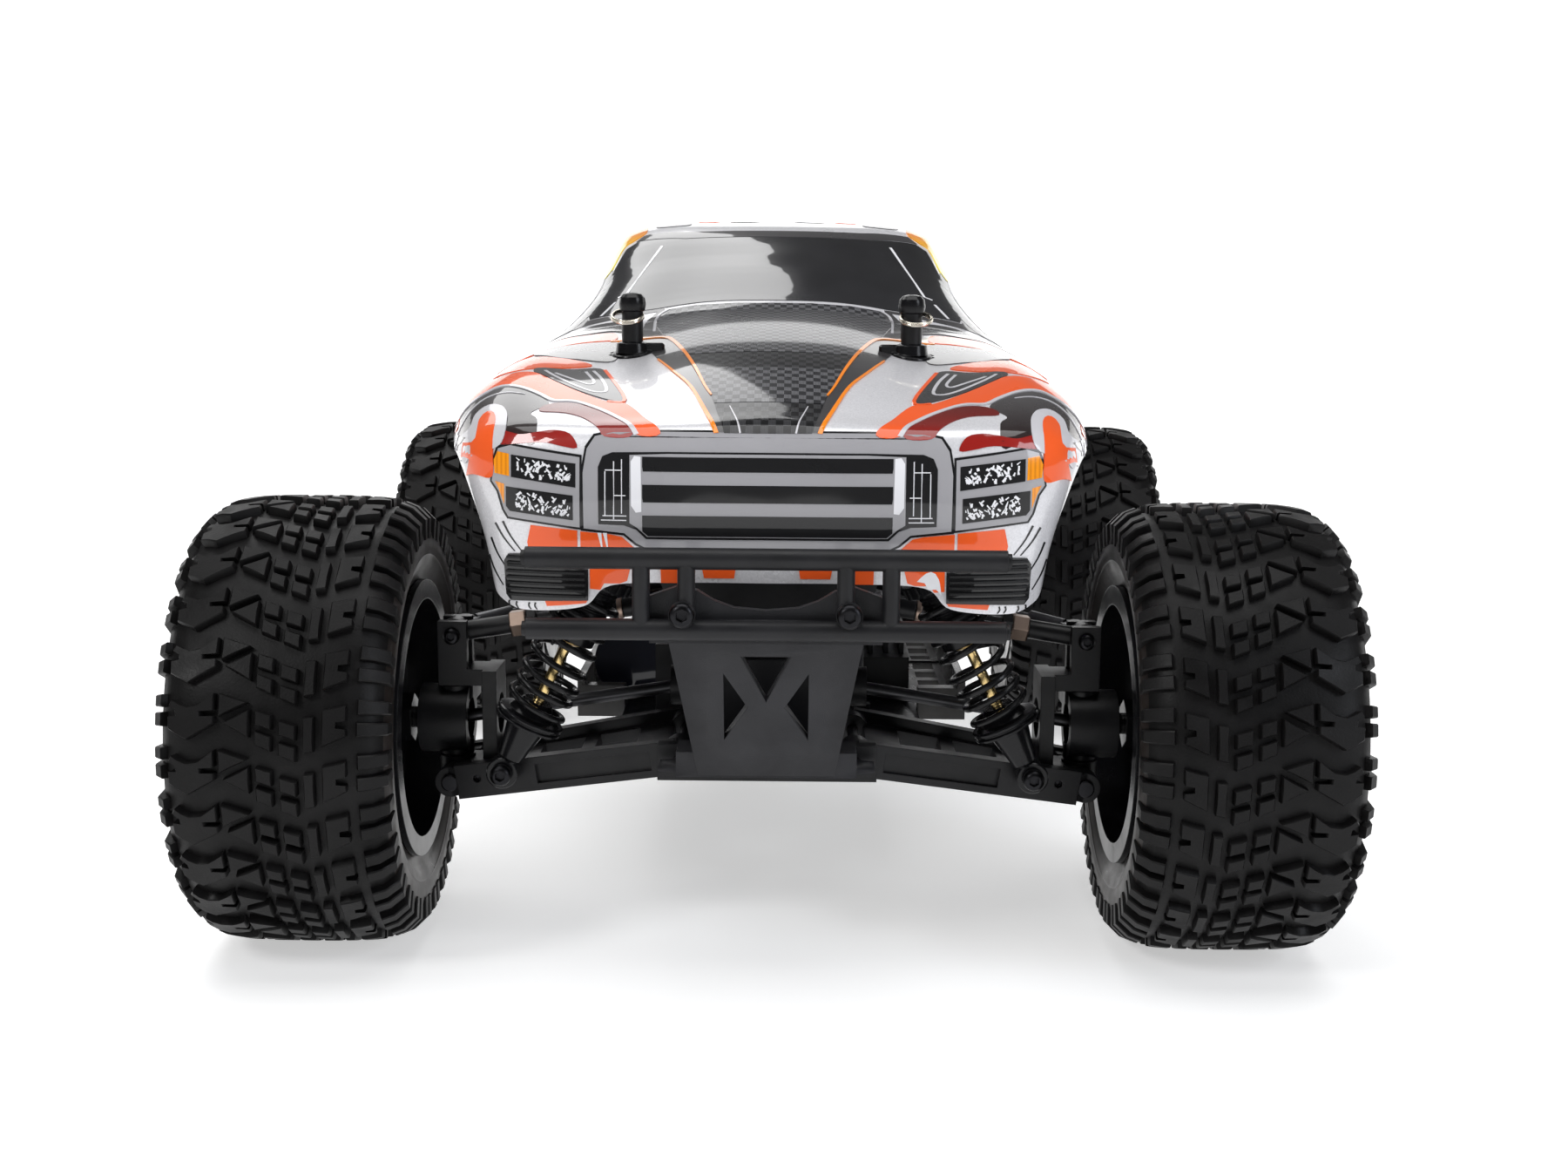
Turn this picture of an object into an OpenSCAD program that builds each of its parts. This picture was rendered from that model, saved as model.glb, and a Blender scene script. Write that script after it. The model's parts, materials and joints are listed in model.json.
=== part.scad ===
// Radio-controlled monster truck, one to ten scale.
// Four-wheel drive on a plate chassis, with double-wishbone suspension, coil-over
// shocks, a tube bumper and a thin moulded pickup body held on posts by clips.
// The truck's nose points to -Y, +Z is up, and the origin is on the ground under
// the middle of the truck. Its own left side, as the driver sees it, is +X.

/* [Overall] */
// Distance between the front and rear axles
wheelbase = 280; // [276:1:284]
// Distance between the middles of the left and right tyres
track = 250; // [248:1:254]
// Outside diameter of a tyre
tyre_d = 125; // [124:0.5:126]
// Width of a tyre
tyre_w = 60; // [58:1:61]
// Height of the chassis plate's underside above the ground
ride_h = 49; // [48:0.5:49]

/* [Suspension] */
// Distance from the centreline to the inner suspension pivots
inner_x = 24; // [23.5:0.5:24.5]
// Distance across the truck from inner to outer pivots
link_span = 64; // [63:0.5:65]
// Height that a link drops from its inner to its outer pivot
link_drop = 10; // [9:0.5:11]
// Radius of every suspension hinge pin
pin_r = 1.5; // [1.4:0.1:1.6]
// Number of turns in a shock spring
spring_turns = 8; // [6:1:9]
// Radius of the spring wire
spring_wire_r = 0.95; // [0.8:0.05:1]

/* [Steering] */
// Length of the knuckle, saver and idler arms
steer_arm = 16; // [15:0.5:16]
// Distance from the centreline to the tie rods' inner ends
tie_inner_x = 30; // [29:0.5:31]

/* [Drive] */
// Tooth module of the spur and pinion gears
gear_module = 0.75; // [0.7:0.01:0.76]
// Teeth on the spur gear
spur_teeth = 48; // [46:1:48]
// Teeth on the motor pinion
pinion_teeth = 16; // [14:1:16]

/* [Bumper] */
// Half the length of the bumper bars
bar_half = 60; // [56:1:62]
// Radius of the bumper bars
bar_r = 2.7; // [2.4:0.1:2.8]

/* [Body shell] */
// Wall thickness of the moulded body
shell_t = 1.2; // [1:0.1:1.4]
// Distance from the centreline to the body posts
post_x = 39; // [38:0.5:40]

/* [Hidden] */
$fn = 48;

// Clearances
run_gap = 0.08;     // radial play of a pin that turns in its bore
seat_gap = 0.05;    // radial play of a pin held in a bracket
loose_gap = 1.1;    // radial play where a closed linkage is left open

// Axles and pivots, all for the front left corner
axle_y = -wheelbase / 2;
axle_z = tyre_d / 2;
wheel_x = track / 2;
outer_x = inner_x + link_span;
lower_out_z = axle_z - 15.5;
lower_in_z = lower_out_z + link_drop;
upper_out_z = axle_z + 24.5;
upper_in_z = upper_out_z + link_drop;
diff_z = axle_z + link_drop;
link_len = norm([link_span, link_drop]);
link_slope = atan(link_drop / link_span);

// Chassis
plate_t = 3;
deck_z = ride_h + plate_t;
tail_y = wheelbase / 2 + 28;     // where the plate ends, front and rear
pin_y0 = 27;                     // half the length of an inner hinge pin

// Shocks, in the plane in front of each lower arm
shock_y = -21;                   // from the axle, towards the bumper
shock_top = [inner_x + 15, diff_z + 45.5];
shock_foot = [inner_x + 48, lower_in_z - 4.5];
shock_vec = shock_foot - shock_top;
shock_len = norm(shock_vec);
shock_turn = atan2(shock_vec[0], shock_vec[1]);
stud_r = 1.75;
spring_r = 8;
spring_from = 15.5;              // along the shock from its top eye
spring_to = 54.6;

// Steering
saver_y = axle_y + 37;
knuckle_pin_y = axle_y + steer_arm;
link_y = saver_y + steer_arm;
link_z = deck_z + 35.5;
tie_in_z = link_z + 7.5;
tie_span = outer_x - tie_inner_x;
tie_drop = link_drop * tie_span / link_span;
tie_out_z = tie_in_z - tie_drop;

// Gears
spur_y = 78;
gear_w = 5;
gear_gap = gear_module * (spur_teeth + pinion_teeth) / 2;
motor_r = 18;

// Bumper
bar_y = -203;
bar_top_z = 117.7;
bar_low_z = 100;
plate_foot = [-182, 57.5];       // y and z of the bumper plate's lower edge
plate_head = [-199.5, 97];       // y and z where it turns upright
slope_len = norm(plate_head - plate_foot);
plate_tilt = atan2(plate_head[0] - plate_foot[0], plate_head[1] - plate_foot[1]);

// Posts
post_y = 128;
post_r = 3;
post_top_z = 179.5;

// ---------------------------------------------------------------- helpers

module x_rod(r, from, to) {
    translate([from, 0, 0]) rotate([0, 90, 0]) cylinder(r = r, h = to - from);
}

module y_rod(r, from, to) {
    translate([0, from, 0]) rotate([-90, 0, 0]) cylinder(r = r, h = to - from);
}

// A box given by its low and high corners
module block(low, high) {
    translate(low) cube(high - low);
}

// A flat outline in X and Z, standing upright between two values of Y
module upright(points, y_from, y_to) {
    translate([0, y_to, 0]) rotate([90, 0, 0]) linear_extrude(y_to - y_from) polygon(points);
}

// Places a front left part at any corner: side 1 is left, end 1 is front
module corner(side, end) {
    if (side > 0 && end > 0) children();
    if (side < 0 && end > 0) mirror([1, 0, 0]) children();
    if (side > 0 && end < 0) mirror([0, 1, 0]) children();
    if (side < 0 && end < 0) rotate([0, 0, 180]) children();
}

// Local frame of a suspension link: +X runs from its inner to its outer pivot
module on_link(z) {
    translate([inner_x, axle_y, z]) rotate([0, link_slope, 0]) children();
}

// Local frame of a shock: +Z runs from its top eye to its foot
module on_shock() {
    translate([shock_top[0], axle_y + shock_y, shock_top[1]]) rotate([0, shock_turn, 0]) children();
}

function mirrored(points) = concat(points,
    [for (i = [len(points) - 1:-1:0]) [-points[i][0], points[i][1]]]);

// ---------------------------------------------------------------- chassis

module chassis_plate() {
    color("#2b2c2f") difference() {
        union() {
            translate([0, 0, ride_h]) linear_extrude(plate_t) polygon(mirrored([
                [15, -tail_y], [15, axle_y + 24], [28, axle_y + 34], [46, -92],
                [46, 92], [28, -axle_y - 34], [15, -axle_y - 24], [15, tail_y]]));
            // post that carries the idler arm
            translate([inner_x, saver_y, deck_z - 0.5]) cylinder(r = 4, h = link_z - deck_z - 5);
            translate([inner_x, saver_y, deck_z]) cylinder(r = 2, h = link_z - deck_z + 1.5);
        }
        for (y = [-60, 0, 60], x = [-38, 38])
            translate([x, y, ride_h - 1]) cylinder(r = 1.6, h = plate_t + 2);
    }
}

module side_guard() {
    difference() {
        union() {
            block([46.1, -80, ride_h], [61, 80, ride_h + 2.4]);
            block([58.6, -80, ride_h], [61, 80, ride_h + 13]);
            for (y = [-80, 75]) block([46.1, y, ride_h], [61, y + 5, ride_h + 10]);
            block([46.1, -2.5, ride_h], [61, 2.5, ride_h + 3]);
        }
        for (y = [-70:14:56]) block([49, y, ride_h - 1], [56, y + 9, ride_h + 4]);
    }
}

module side_guards() {
    color("#3a3b3e") for (side = [1, -1]) corner(side, 1) side_guard();
}

module upper_deck() {
    color("#6a3fa0") difference() {
        translate([0, 0, diff_z + 19.6]) linear_extrude(2.5) polygon(mirrored([
            [10, axle_y + 9], [10, axle_y + 26], [6, axle_y + 36],
            [6, -axle_y - 36], [10, -axle_y - 26], [10, -axle_y - 9]]));
        for (y = [axle_y + 14, -axle_y - 14], x = [-6, 6])
            translate([x, y, diff_z + 18]) cylinder(r = 1.3, h = 6);
    }
}

// Differential case with its hinge brackets, link ears and output cups
module gearbox() {
    case_x = 15.5;
    difference() {
        union() {
            block([-case_x, axle_y - 23, deck_z], [case_x, axle_y + 23, diff_z + 12]);
            translate([0, axle_y, diff_z]) x_rod(19.5, -case_x, case_x);
            translate([0, axle_y, diff_z]) y_rod(9, 22, 31);
            for (y = [-pin_y0, pin_y0 - 4])
                block([-inner_x - 5.5, axle_y + y, deck_z], [inner_x + 5.5, axle_y + y + 4, lower_in_z + 5]);
            for (side = [-1, 1]) translate([side * inner_x, axle_y, 0]) {
                for (y = [-7, 3.4]) block([-5, y, upper_in_z - 9], [4.5, y + 3.6, upper_in_z + 4.5]);
                translate([0, 0, upper_in_z]) y_rod(pin_r, -7, 7);
            }
            block([-inner_x, axle_y - 7, diff_z + 14], [inner_x, axle_y - 3.4, upper_in_z - 3]);
            block([-inner_x, axle_y + 3.4, diff_z + 14], [inner_x, axle_y + 7, upper_in_z - 3]);
            translate([0, axle_y, diff_z]) x_rod(5.6, -inner_x - 3.4, inner_x + 3.4);
        }
        // cups that hold the dogbones' inner balls
        for (side = [-1, 1]) translate([0, axle_y, diff_z])
            x_rod(4.2, side > 0 ? inner_x - 4 : -inner_x - 5, side > 0 ? inner_x + 5 : 4 - inner_x);
        translate([0, axle_y, diff_z]) y_rod(3 + run_gap, 25, 32);
        for (side = [-1, 1]) translate([side * inner_x, axle_y, lower_in_z])
            y_rod(pin_r + seat_gap, -pin_y0 - 1, pin_y0 + 1);
        // seats of the shock tower and the upper deck
        block([-inner_x - 6, axle_y - 11.3, diff_z + 13.9], [inner_x + 6, axle_y - 7, diff_z + 30]);
        block([-11, axle_y + 7.2, diff_z + 19.5], [11, axle_y + 24, diff_z + 30]);
    }
}

module front_gearbox() {
    color("#1d1e20") gearbox();
}

module rear_gearbox() {
    color("#1d1e20") corner(1, -1) gearbox();
}

// Plate across the truck that carries the tops of two shocks and two posts
module shock_tower() {
    top = shock_top[1];
    y0 = axle_y - 11.2;
    difference() {
        union() {
            upright(mirrored([[10, diff_z + 14], [inner_x, diff_z + 16], [inner_x + 6, top - 14],
                [post_x + 5, top - 3], [post_x + 5, top + 3], [inner_x + 8, top + 7],
                [10, top + 3]]), y0, y0 + 4);
            for (side = [-1, 1]) translate([side * shock_top[0], axle_y, top]) {
                y_rod(stud_r, shock_y - 5, -10);
                y_rod(3, shock_y - 5, shock_y - 3.2);
                y_rod(3.4, shock_y + 3.2, -10);
            }
        }
        for (x = [-12, 0, 12]) translate([x, y0, top - 10]) y_rod(4, -1, 5);
    }
}

module front_shock_tower() {
    color("#26272a") shock_tower();
}

module rear_shock_tower() {
    color("#26272a") corner(1, -1) shock_tower();
}

module hinge_pins() {
    color("#b9bcc2") for (side = [1, -1], end = [1, -1]) corner(side, end)
        translate([inner_x, axle_y, lower_in_z]) y_rod(pin_r, -pin_y0 - 0.5, pin_y0 + 0.5);
}

// ---------------------------------------------------------------- bumpers

// Plate leaning forwards from the skid block up to the lower bar, with an
// upright crown that carries the bars and three windows that leave an X
module bumper_plate() {
    plate_w = 3;
    translate([0, plate_foot[0], plate_foot[1]]) rotate([-plate_tilt, 0, 0]) difference() {
        upright(mirrored([[17.8, 0], [24.4, slope_len]]), 0, plate_w);
        upright([[0, 23.8], [6.4, 38], [-6.4, 38]], -1, plate_w + 1);
        for (s = [-1, 1])
            upright([[s * 4.7, 22.2], [s * 10.8, 11.7], [s * 10.8, 32.9]], -1, plate_w + 1);
    }
    difference() {
        upright(mirrored([[29, bar_low_z - 4], [29, 107.8], [22, 110.3], [17, 109.3],
            [13, 106.8], [8, 105], [0, 104.3]]), plate_head[0] - 0.4, plate_head[0] + 2.6);
        for (s = [-1, 1]) translate([s * 20.5, 0, 104.3]) y_rod(1.3, plate_head[0] - 2, plate_head[0] + 4);
    }
}

module front_bumper_plate() {
    color("#303236") union() {
        bumper_plate();
        // skid block under the nose
        block([-23.6, plate_foot[0] + 0.8, ride_h + 0.5], [23.6, -tail_y - 0.2, plate_foot[1] + 6]);
        block([-15, plate_foot[0] + 2, ride_h + 3.2], [15, -tail_y + 0.8, ride_h + 5]);
        for (s = [-1, 1]) upright([[s * 23, ride_h + 1], [s * 28.5, ride_h + 2.5], [s * 28.5, ride_h + 4],
            [s * 23, ride_h + 5]], plate_foot[0] + 3, -tail_y - 2);
    }
}

module front_bumper_bars() {
    color("#2e3034") difference() {
        union() {
            for (z = [bar_low_z, bar_top_z]) translate([0, bar_y, z]) {
                x_rod(bar_r, -bar_half + 1, bar_half - 1);
                x_rod(bar_r - 0.8, -bar_half, bar_half);
            }
            for (s = [-1, 1], x = [19.6, 30.7]) translate([s * x, bar_y, bar_low_z])
                cylinder(r = 2.2, h = bar_top_z - bar_low_z);
        }
        // flat of the lower bar where it seats on the plate
        block([-30, plate_head[0] - 0.4, bar_low_z - 6], [30, plate_head[0] + 4, bar_low_z + 6]);
    }
    color("#17181a") for (s = [-1, 1]) translate([s * 20.5, 0, 104.3]) {
        y_rod(3.3, bar_y - 3.7, bar_y - 2);
        y_rod(1.2, bar_y, plate_head[0] + 3);
    }
}

// Low plate and tube at the back that shields the gearbox
module rear_bumper() {
    color("#303236") union() {
        block([-22, tail_y + 0.2, ride_h + 0.5], [22, tail_y + 12, ride_h + 7]);
        upright(mirrored([[20, ride_h + 2], [22, ride_h + 34], [12, ride_h + 40]]),
            tail_y + 9, tail_y + 12);
        for (z = [ride_h + 18, ride_h + 34]) translate([0, tail_y + 14, z]) x_rod(bar_r, -48, 48);
        for (x = [-34, 0, 34]) translate([x, tail_y + 14, ride_h + 18]) cylinder(r = 2.2, h = 16);
    }
}

// ---------------------------------------------------------------- electrics

module battery_pack() {
    color("#23242a") difference() {
        union() {
            translate([-33.5, 0, deck_z + 12]) for (x = [-11.6, 11.6])
                translate([x, 0, 0.1]) y_rod(11.9, -66, 72);
            block([-45.1, -66, deck_z + 0.2], [-21.9, 72, deck_z + 24]);
            // strap that holds the pack down
            block([-57, -6, deck_z + 8], [-9.5, 8, deck_z + 25.2]);
        }
        block([-60, -7, deck_z - 1], [-8, 9, deck_z + 0.1]);
    }
}

module motor() {
    color("#b4b7bd") translate([gear_gap, 0, diff_z]) difference() {
        union() {
            y_rod(motor_r, 14, 70);
            y_rod(6.5, 9, 15);
            // mounting plate that stands on the chassis
            block([-motor_r - 1, 70, deck_z - diff_z], [motor_r + 2, 73, 16]);
            y_rod(1.6, 72, spur_y + gear_w - 0.5);
        }
        for (i = [0:5]) rotate([0, i * 60, 0]) translate([motor_r - 3.5, 0, 0]) y_rod(1.8, 13, 18);
    }
}

module speed_controller() {
    color("#2a2b2e") union() {
        block([8, -66, deck_z + 0.2], [44, -14, deck_z + 14]);
        for (x = [11:5:41]) block([x, -60, deck_z + 13], [x + 1.6, -20, deck_z + 23]);
    }
}

module steering_servo() {
    color("#202124") translate([-inner_x, saver_y, deck_z]) union() {
        block([-10, -9.2, 0.2], [10, 30.8, 26.5]);
        block([-10, -9.2, 18], [10, 33.4, 20.5]);
        translate([0, 0, 26]) cylinder(r = 6, h = 2);
        cylinder(r = 2.9, h = 33);
    }
}

// ---------------------------------------------------------------- body shell

module body_post() {
    foot_z = shock_top[1];
    difference() {
        union() {
            translate([post_x, -post_y, foot_z - 2.5]) cylinder(r = post_r, h = post_top_z - foot_z + 2.5);
            block([post_x - 4.5, axle_y - 7.1, foot_z - 2.5], [post_x + 4.5, -post_y, foot_z + 2.5]);
            translate([post_x, -post_y, foot_z - 2.5]) cylinder(r = 4.5, h = 5);
            translate([post_x, -post_y, 160.2]) cylinder(r = 6, h = 1.6);
        }
        for (z = [168.5, 175]) translate([post_x, -post_y, z]) x_rod(1, -6, 6);
    }
}

module body_posts() {
    color("#17181a") for (side = [1, -1], end = [1, -1]) corner(side, end) body_post();
}

module body_clip() {
    translate([post_x, -post_y, 168.5]) union() {
        x_rod(0.75, -9, 8);
        translate([13.2, 0, 0]) rotate([22, 0, 0]) rotate_extrude() translate([5, 0]) circle(r = 0.75);
    }
}

module body_clips() {
    color("#d3d6da") for (side = [1, -1], end = [1, -1]) corner(side, end) body_clip();
}

// Ribs of the body, from the front lip over the hood, cab and bed to the tail.
// Each runs from the centreline out to the lower edge as x, y and z.
body_ribs = [
    // front lip
    [[0, -186, 109], [22, -186, 109], [40, -185.5, 108], [47, -185, 102.5],
        [62, -182, 101], [69, -178, 103.5], [71.5, -174, 107], [72, -171, 110]],
    // under the grille
    [[0, -189, 118.5], [24, -189, 118.5], [42, -188, 118], [56, -186, 117.5],
        [66, -183, 117], [71, -179, 117], [73, -175, 117], [73.5, -171, 117]],
    // middle of the grille and lamps
    [[0, -189.5, 132], [22, -189.5, 132], [41, -188.5, 132], [56, -186, 132],
        [67, -183, 132], [73, -179, 132], [76.5, -174, 131], [78, -169, 130]],
    // front edge of the hood
    [[0, -187.5, 146.5], [22, -187.5, 146.5], [41, -186, 146], [56, -184, 145.5],
        [68, -181, 144.5], [76, -176, 143], [80.5, -169, 141], [82, -162, 137.5]],
    [[0, -178, 152.5], [22, -178, 151.5], [40, -178, 150.5], [56, -177, 150.5],
        [69, -174, 150], [78, -168, 147.5], [82.5, -161, 144], [84.5, -154, 139.5]],
    [[0, -160, 159.5], [22, -160, 158.5], [40, -160, 156.5], [56, -160, 156.5],
        [69, -158, 157.5], [79, -155, 153.5], [84, -151, 147], [86, -147, 140.5]],
    // over the front axle
    [[0, -140, 165.5], [21, -140, 164.5], [40, -140, 162], [56, -140, 161.5],
        [68, -139, 162], [78, -138, 156.5], [84.5, -136, 148.5], [86.5, -134, 140.5]],
    [[0, -115, 170.5], [21, -115, 169.5], [40, -115, 166.5], [56, -114, 165.5],
        [67, -113, 164.5], [78, -112, 158.5], [84.5, -111, 149], [86.5, -110, 138.5]],
    // cowl
    [[0, -85, 175.5], [21, -85, 174.5], [40, -83, 171.5], [54, -80, 169.5],
        [64, -78, 167.5], [76, -80, 160.5], [82, -82, 146], [84, -86, 124]],
    // foot of the windshield
    [[0, -74, 177.5], [21, -73.5, 176.8], [40, -71, 173.5], [54, -67, 171],
        [63, -62, 169], [74.5, -62, 161.5], [80, -63, 140], [81, -70, 100]],
    [[0, -45, 191.5], [19, -44.5, 191], [36, -43, 189.3], [49.5, -40, 185.5],
        [57.5, -36, 180.5], [72.5, -36, 161], [79, -38, 135], [79, -42, 93]],
    // front edge of the roof
    [[0, -16, 203.2], [18, -16, 203], [35, -15, 202.4], [47, -12.5, 200.2],
        [54, -10, 194.5], [71.5, -10, 161.5], [78, -10, 135], [78, -12, 92]],
    [[0, 18, 205], [18, 18, 204.8], [35, 18, 204.2], [48, 18, 202],
        [55, 18, 194.5], [71.5, 18, 161.5], [78, 18, 135], [78, 18, 92]],
    // rear edge of the roof
    [[0, 47, 203], [18, 47, 202.8], [35, 47, 202], [47, 46, 199.5],
        [54, 45, 192.5], [71.5, 45, 161.5], [78, 45, 135], [78, 46, 92]],
    // foot of the rear window
    [[0, 65, 176], [20, 65, 176], [38, 65, 175.5], [51, 64, 174],
        [61, 62, 169.5], [73.5, 62, 161.5], [80, 64, 140], [81, 70, 99]],
    [[0, 84, 167], [21, 84, 167], [40, 84, 167.3], [55, 84, 168.2],
        [66, 83, 167.5], [76.5, 82, 160.5], [82, 82, 146], [84, 87, 124]],
    [[0, 112, 165], [21, 112, 165], [40, 112, 165.3], [56, 112, 166.3],
        [68, 112, 165.5], [78.5, 111, 159], [84.5, 111, 149], [86.5, 110, 138.5]],
    // over the rear axle
    [[0, 140, 164], [21, 140, 164], [40, 140, 164.3], [56, 140, 165.3],
        [68, 139, 164.5], [78.5, 138, 158], [84.5, 136, 148.5], [86.5, 135, 140.5]],
    [[0, 165, 162], [21, 165, 162], [40, 165, 162.3], [56, 164, 163.3],
        [68, 162, 162.5], [77, 160, 156], [83, 157, 147], [85, 153, 140]],
    // tail
    [[0, 184, 157.5], [21, 184, 157.5], [40, 183.5, 157.5], [55, 182, 157.5],
        [66, 179, 156.5], [74.5, 174, 152], [80, 168, 144], [82.5, 162, 137]],
    [[0, 189.5, 138], [21, 189.5, 138], [40, 189, 138], [55, 187.5, 138],
        [66, 184.5, 137.5], [73, 180, 136], [77, 175, 133], [79, 170, 129]],
    [[0, 187, 112], [21, 187, 112], [40, 186.5, 112], [54, 185.5, 112],
        [64, 183, 112], [70, 179.5, 112], [73, 176, 112.5], [74.5, 172, 113]]];

shell_across = 2;   // steps between the points of a rib
shell_along = 2;    // steps from rib to rib

// Catmull-Rom curve through points, which may be ribs as well as points
function curve(a, b, c, d, t) = 0.5 * (2 * b + (c - a) * t
    + (2 * a - 5 * b + 4 * c - d) * t * t + (3 * b - a - 3 * c + d) * t * t * t);
function refined(p, steps) = concat(
    [for (i = [0:len(p) - 2], k = [0:steps - 1])
        curve(p[max(i - 1, 0)], p[i], p[i + 1], p[min(i + 2, len(p) - 1)], k / steps)],
    [p[len(p) - 1]]);
function whole_rib(rib) = concat(
    [for (i = [len(rib) - 1:-1:1]) [-rib[i][0], rib[i][1], rib[i][2]]], rib);
function unit(v) = v / norm(v);

module shell_skin() {
    grid = refined([for (rib = body_ribs) refined(whole_rib(rib), shell_across)], shell_along);
    rows = len(grid);
    cols = len(grid[0]);
    inner = [for (i = [0:rows - 1]) [for (j = [0:cols - 1])
        let (along = grid[min(i + 1, rows - 1)][j] - grid[max(i - 1, 0)][j],
            across = grid[i][min(j + 1, cols - 1)] - grid[i][max(j - 1, 0)])
        grid[i][j] + shell_t * unit(cross(along, across))]];
    flat = concat([for (row = grid) each row], [for (row = inner) each row]);
    n = rows * cols;
    skins = [for (i = [0:rows - 2], j = [0:cols - 2])
        let (a = i * cols + j, b = a + 1, d = a + cols, c = d + 1)
        each [[a, d, c], [a, c, b], [a + n, c + n, d + n], [a + n, b + n, c + n]]];
    ends = [for (j = [0:cols - 2])
        let (a = j, b = j + 1, d = (rows - 1) * cols + j, c = d + 1)
        each [[a, b, b + n], [a, b + n, a + n], [d, c + n, c], [d, d + n, c + n]]];
    sides = [for (i = [0:rows - 2])
        let (a = i * cols, d = a + cols, b = a + cols - 1, c = b + cols)
        each [[a, d + n, d], [a, a + n, d + n], [b, c, c + n], [b, c + n, b + n]]];
    polyhedron(points = flat, faces = concat(skins, ends, sides));
}

module body_shell() {
    color("#b9bcc0") difference() {
        shell_skin();
        for (x = [-post_x, post_x], y = [-post_y, post_y])
            translate([x, y, 150]) cylinder(r = post_r + 0.6, h = 30);
    }
}

// ---------------------------------------------------------------- suspension

module lower_arm() {
    reach = link_len - 2;
    function edge(x) = 22 - 7.5 * x / reach;
    on_link(lower_in_z) difference() {
        union() {
            // web with its two long beams
            linear_extrude(3, center = true) polygon([[3, -20], [reach - 15, -14],
                [reach - 15, 14], [3, 20]]);
            for (s = [-1, 1]) linear_extrude(9.5, center = true) polygon([[0, s * edge(0)],
                [reach, s * edge(reach)], [reach, s * 11], [reach - 12, s * 11.5], [0, s * 18]]);
            for (y = [-22, 12]) y_rod(4.5, y, y + 10);
            for (y = [-12.8, 6.4]) translate([link_len, 0, 0]) y_rod(4.2, y, y + 6.4);
            for (s = [-1, 1]) linear_extrude(8, center = true) polygon([[reach - 4, s * 6.4],
                [link_len, s * 6.4], [link_len, s * 12.8], [reach - 4, s * 14]]);
        }
        // grooves that leave each beam an I section
        for (s = [-1, 1]) linear_extrude(5.4, center = true) polygon([[8, s * 23], [40, s * 19.5],
            [40, s * (edge(40) - 1.3)], [8, s * (edge(8) - 1.3)]]);
        // lightening holes in the web
        linear_extrude(8, center = true) polygon([[13, -14], [25, -13], [25, 13], [13, 14]]);
        linear_extrude(8, center = true) polygon([[29, -12.5], [41, -11.5], [41, 11.5], [29, 12.5]]);
        for (x = [link_len - 14, link_len - 8]) translate([x, 0, 0.5]) y_rod(1.1, -18, -8);
        y_rod(pin_r + run_gap, -30, 30);
        translate([link_len, 0, 0]) y_rod(pin_r + seat_gap, -20, 20);
    }
    // outer hinge pin and the stud for the shock's foot
    on_link(lower_in_z) translate([link_len, 0, 0]) y_rod(pin_r, -13.5, 13.5);
    translate([shock_foot[0], axle_y, shock_foot[1]]) {
        y_rod(pin_r, shock_y - 4.6, -14);
        y_rod(2.9, shock_y - 4.6, shock_y - 3.2);
    }
}

// Ring that carries the wheel bearing, with its bore left solid
module bearing_ring() {
    translate([0, axle_y, axle_z]) x_rod(9.6, outer_x - 4, outer_x + 9.5);
}

module bearing_bore() {
    translate([0, axle_y, axle_z]) {
        x_rod(6, outer_x - 10, outer_x + 5.3);
        x_rod(3 + run_gap, outer_x, outer_x + 12);
    }
}

// Ears and pin for the upper link's outer eye
module link_ears() {
    translate([outer_x, axle_y, 0]) {
        for (y = [-6, 3]) block([-4, y, axle_z + 11], [4, y + 3, upper_out_z + 4]);
        translate([0, 0, upper_out_z]) y_rod(pin_r, -7, 7);
    }
}

module c_hub() {
    wall = outer_x - 12.5;
    difference() {
        union() {
            translate([outer_x, axle_y, lower_out_z]) y_rod(4, -6, 6);
            block([wall, axle_y - 6, axle_z - 14.5], [outer_x, axle_y + 6, axle_z - 11]);
            block([wall, axle_y - 8.5, axle_z - 14.5], [wall + 4, axle_y + 8.5, axle_z + 15]);
            block([wall, axle_y - 6, axle_z + 10.4], [outer_x + 4, axle_y + 6, axle_z + 15]);
            translate([outer_x, axle_y, axle_z - 15]) cylinder(r = 5, h = 4.7);
            translate([outer_x, axle_y, axle_z + 10.4]) cylinder(r = 5, h = 4.6);
            link_ears();
        }
        translate([0, axle_y, axle_z + 1.5]) x_rod(5.8, wall - 1, wall + 5);
        translate([outer_x, axle_y, lower_out_z]) y_rod(pin_r + run_gap, -10, 10);
    }
    // kingpins
    for (z = [axle_z - 13, axle_z + 6.3]) translate([outer_x, axle_y, z]) cylinder(r = 2, h = 6.7);
}

module knuckle() {
    difference() {
        union() {
            bearing_ring();
            translate([outer_x, axle_y, axle_z - 9.9]) cylinder(r = 4.6, h = 19.8);
            block([outer_x - 4, axle_y + 6, axle_z + 3.5], [outer_x + 4, knuckle_pin_y, axle_z + 9]);
            translate([outer_x, knuckle_pin_y, axle_z + 3.5]) cylinder(r = 4, h = 6.5);
        }
        bearing_bore();
        translate([outer_x, axle_y, axle_z - 12]) cylinder(r = 2 + run_gap, h = 24);
    }
    translate([outer_x, knuckle_pin_y, axle_z + 4]) cylinder(r = 1.5, h = tie_out_z + 3.2 - axle_z - 4);
}

module rear_hub() {
    difference() {
        union() {
            bearing_ring();
            translate([outer_x, axle_y, lower_out_z]) y_rod(4, -6, 6);
            block([outer_x - 4, axle_y - 6, lower_out_z], [outer_x + 4, axle_y + 6, axle_z + 15]);
            link_ears();
        }
        bearing_bore();
        translate([outer_x, axle_y, lower_out_z]) y_rod(pin_r + run_gap, -10, 10);
    }
}

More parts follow.
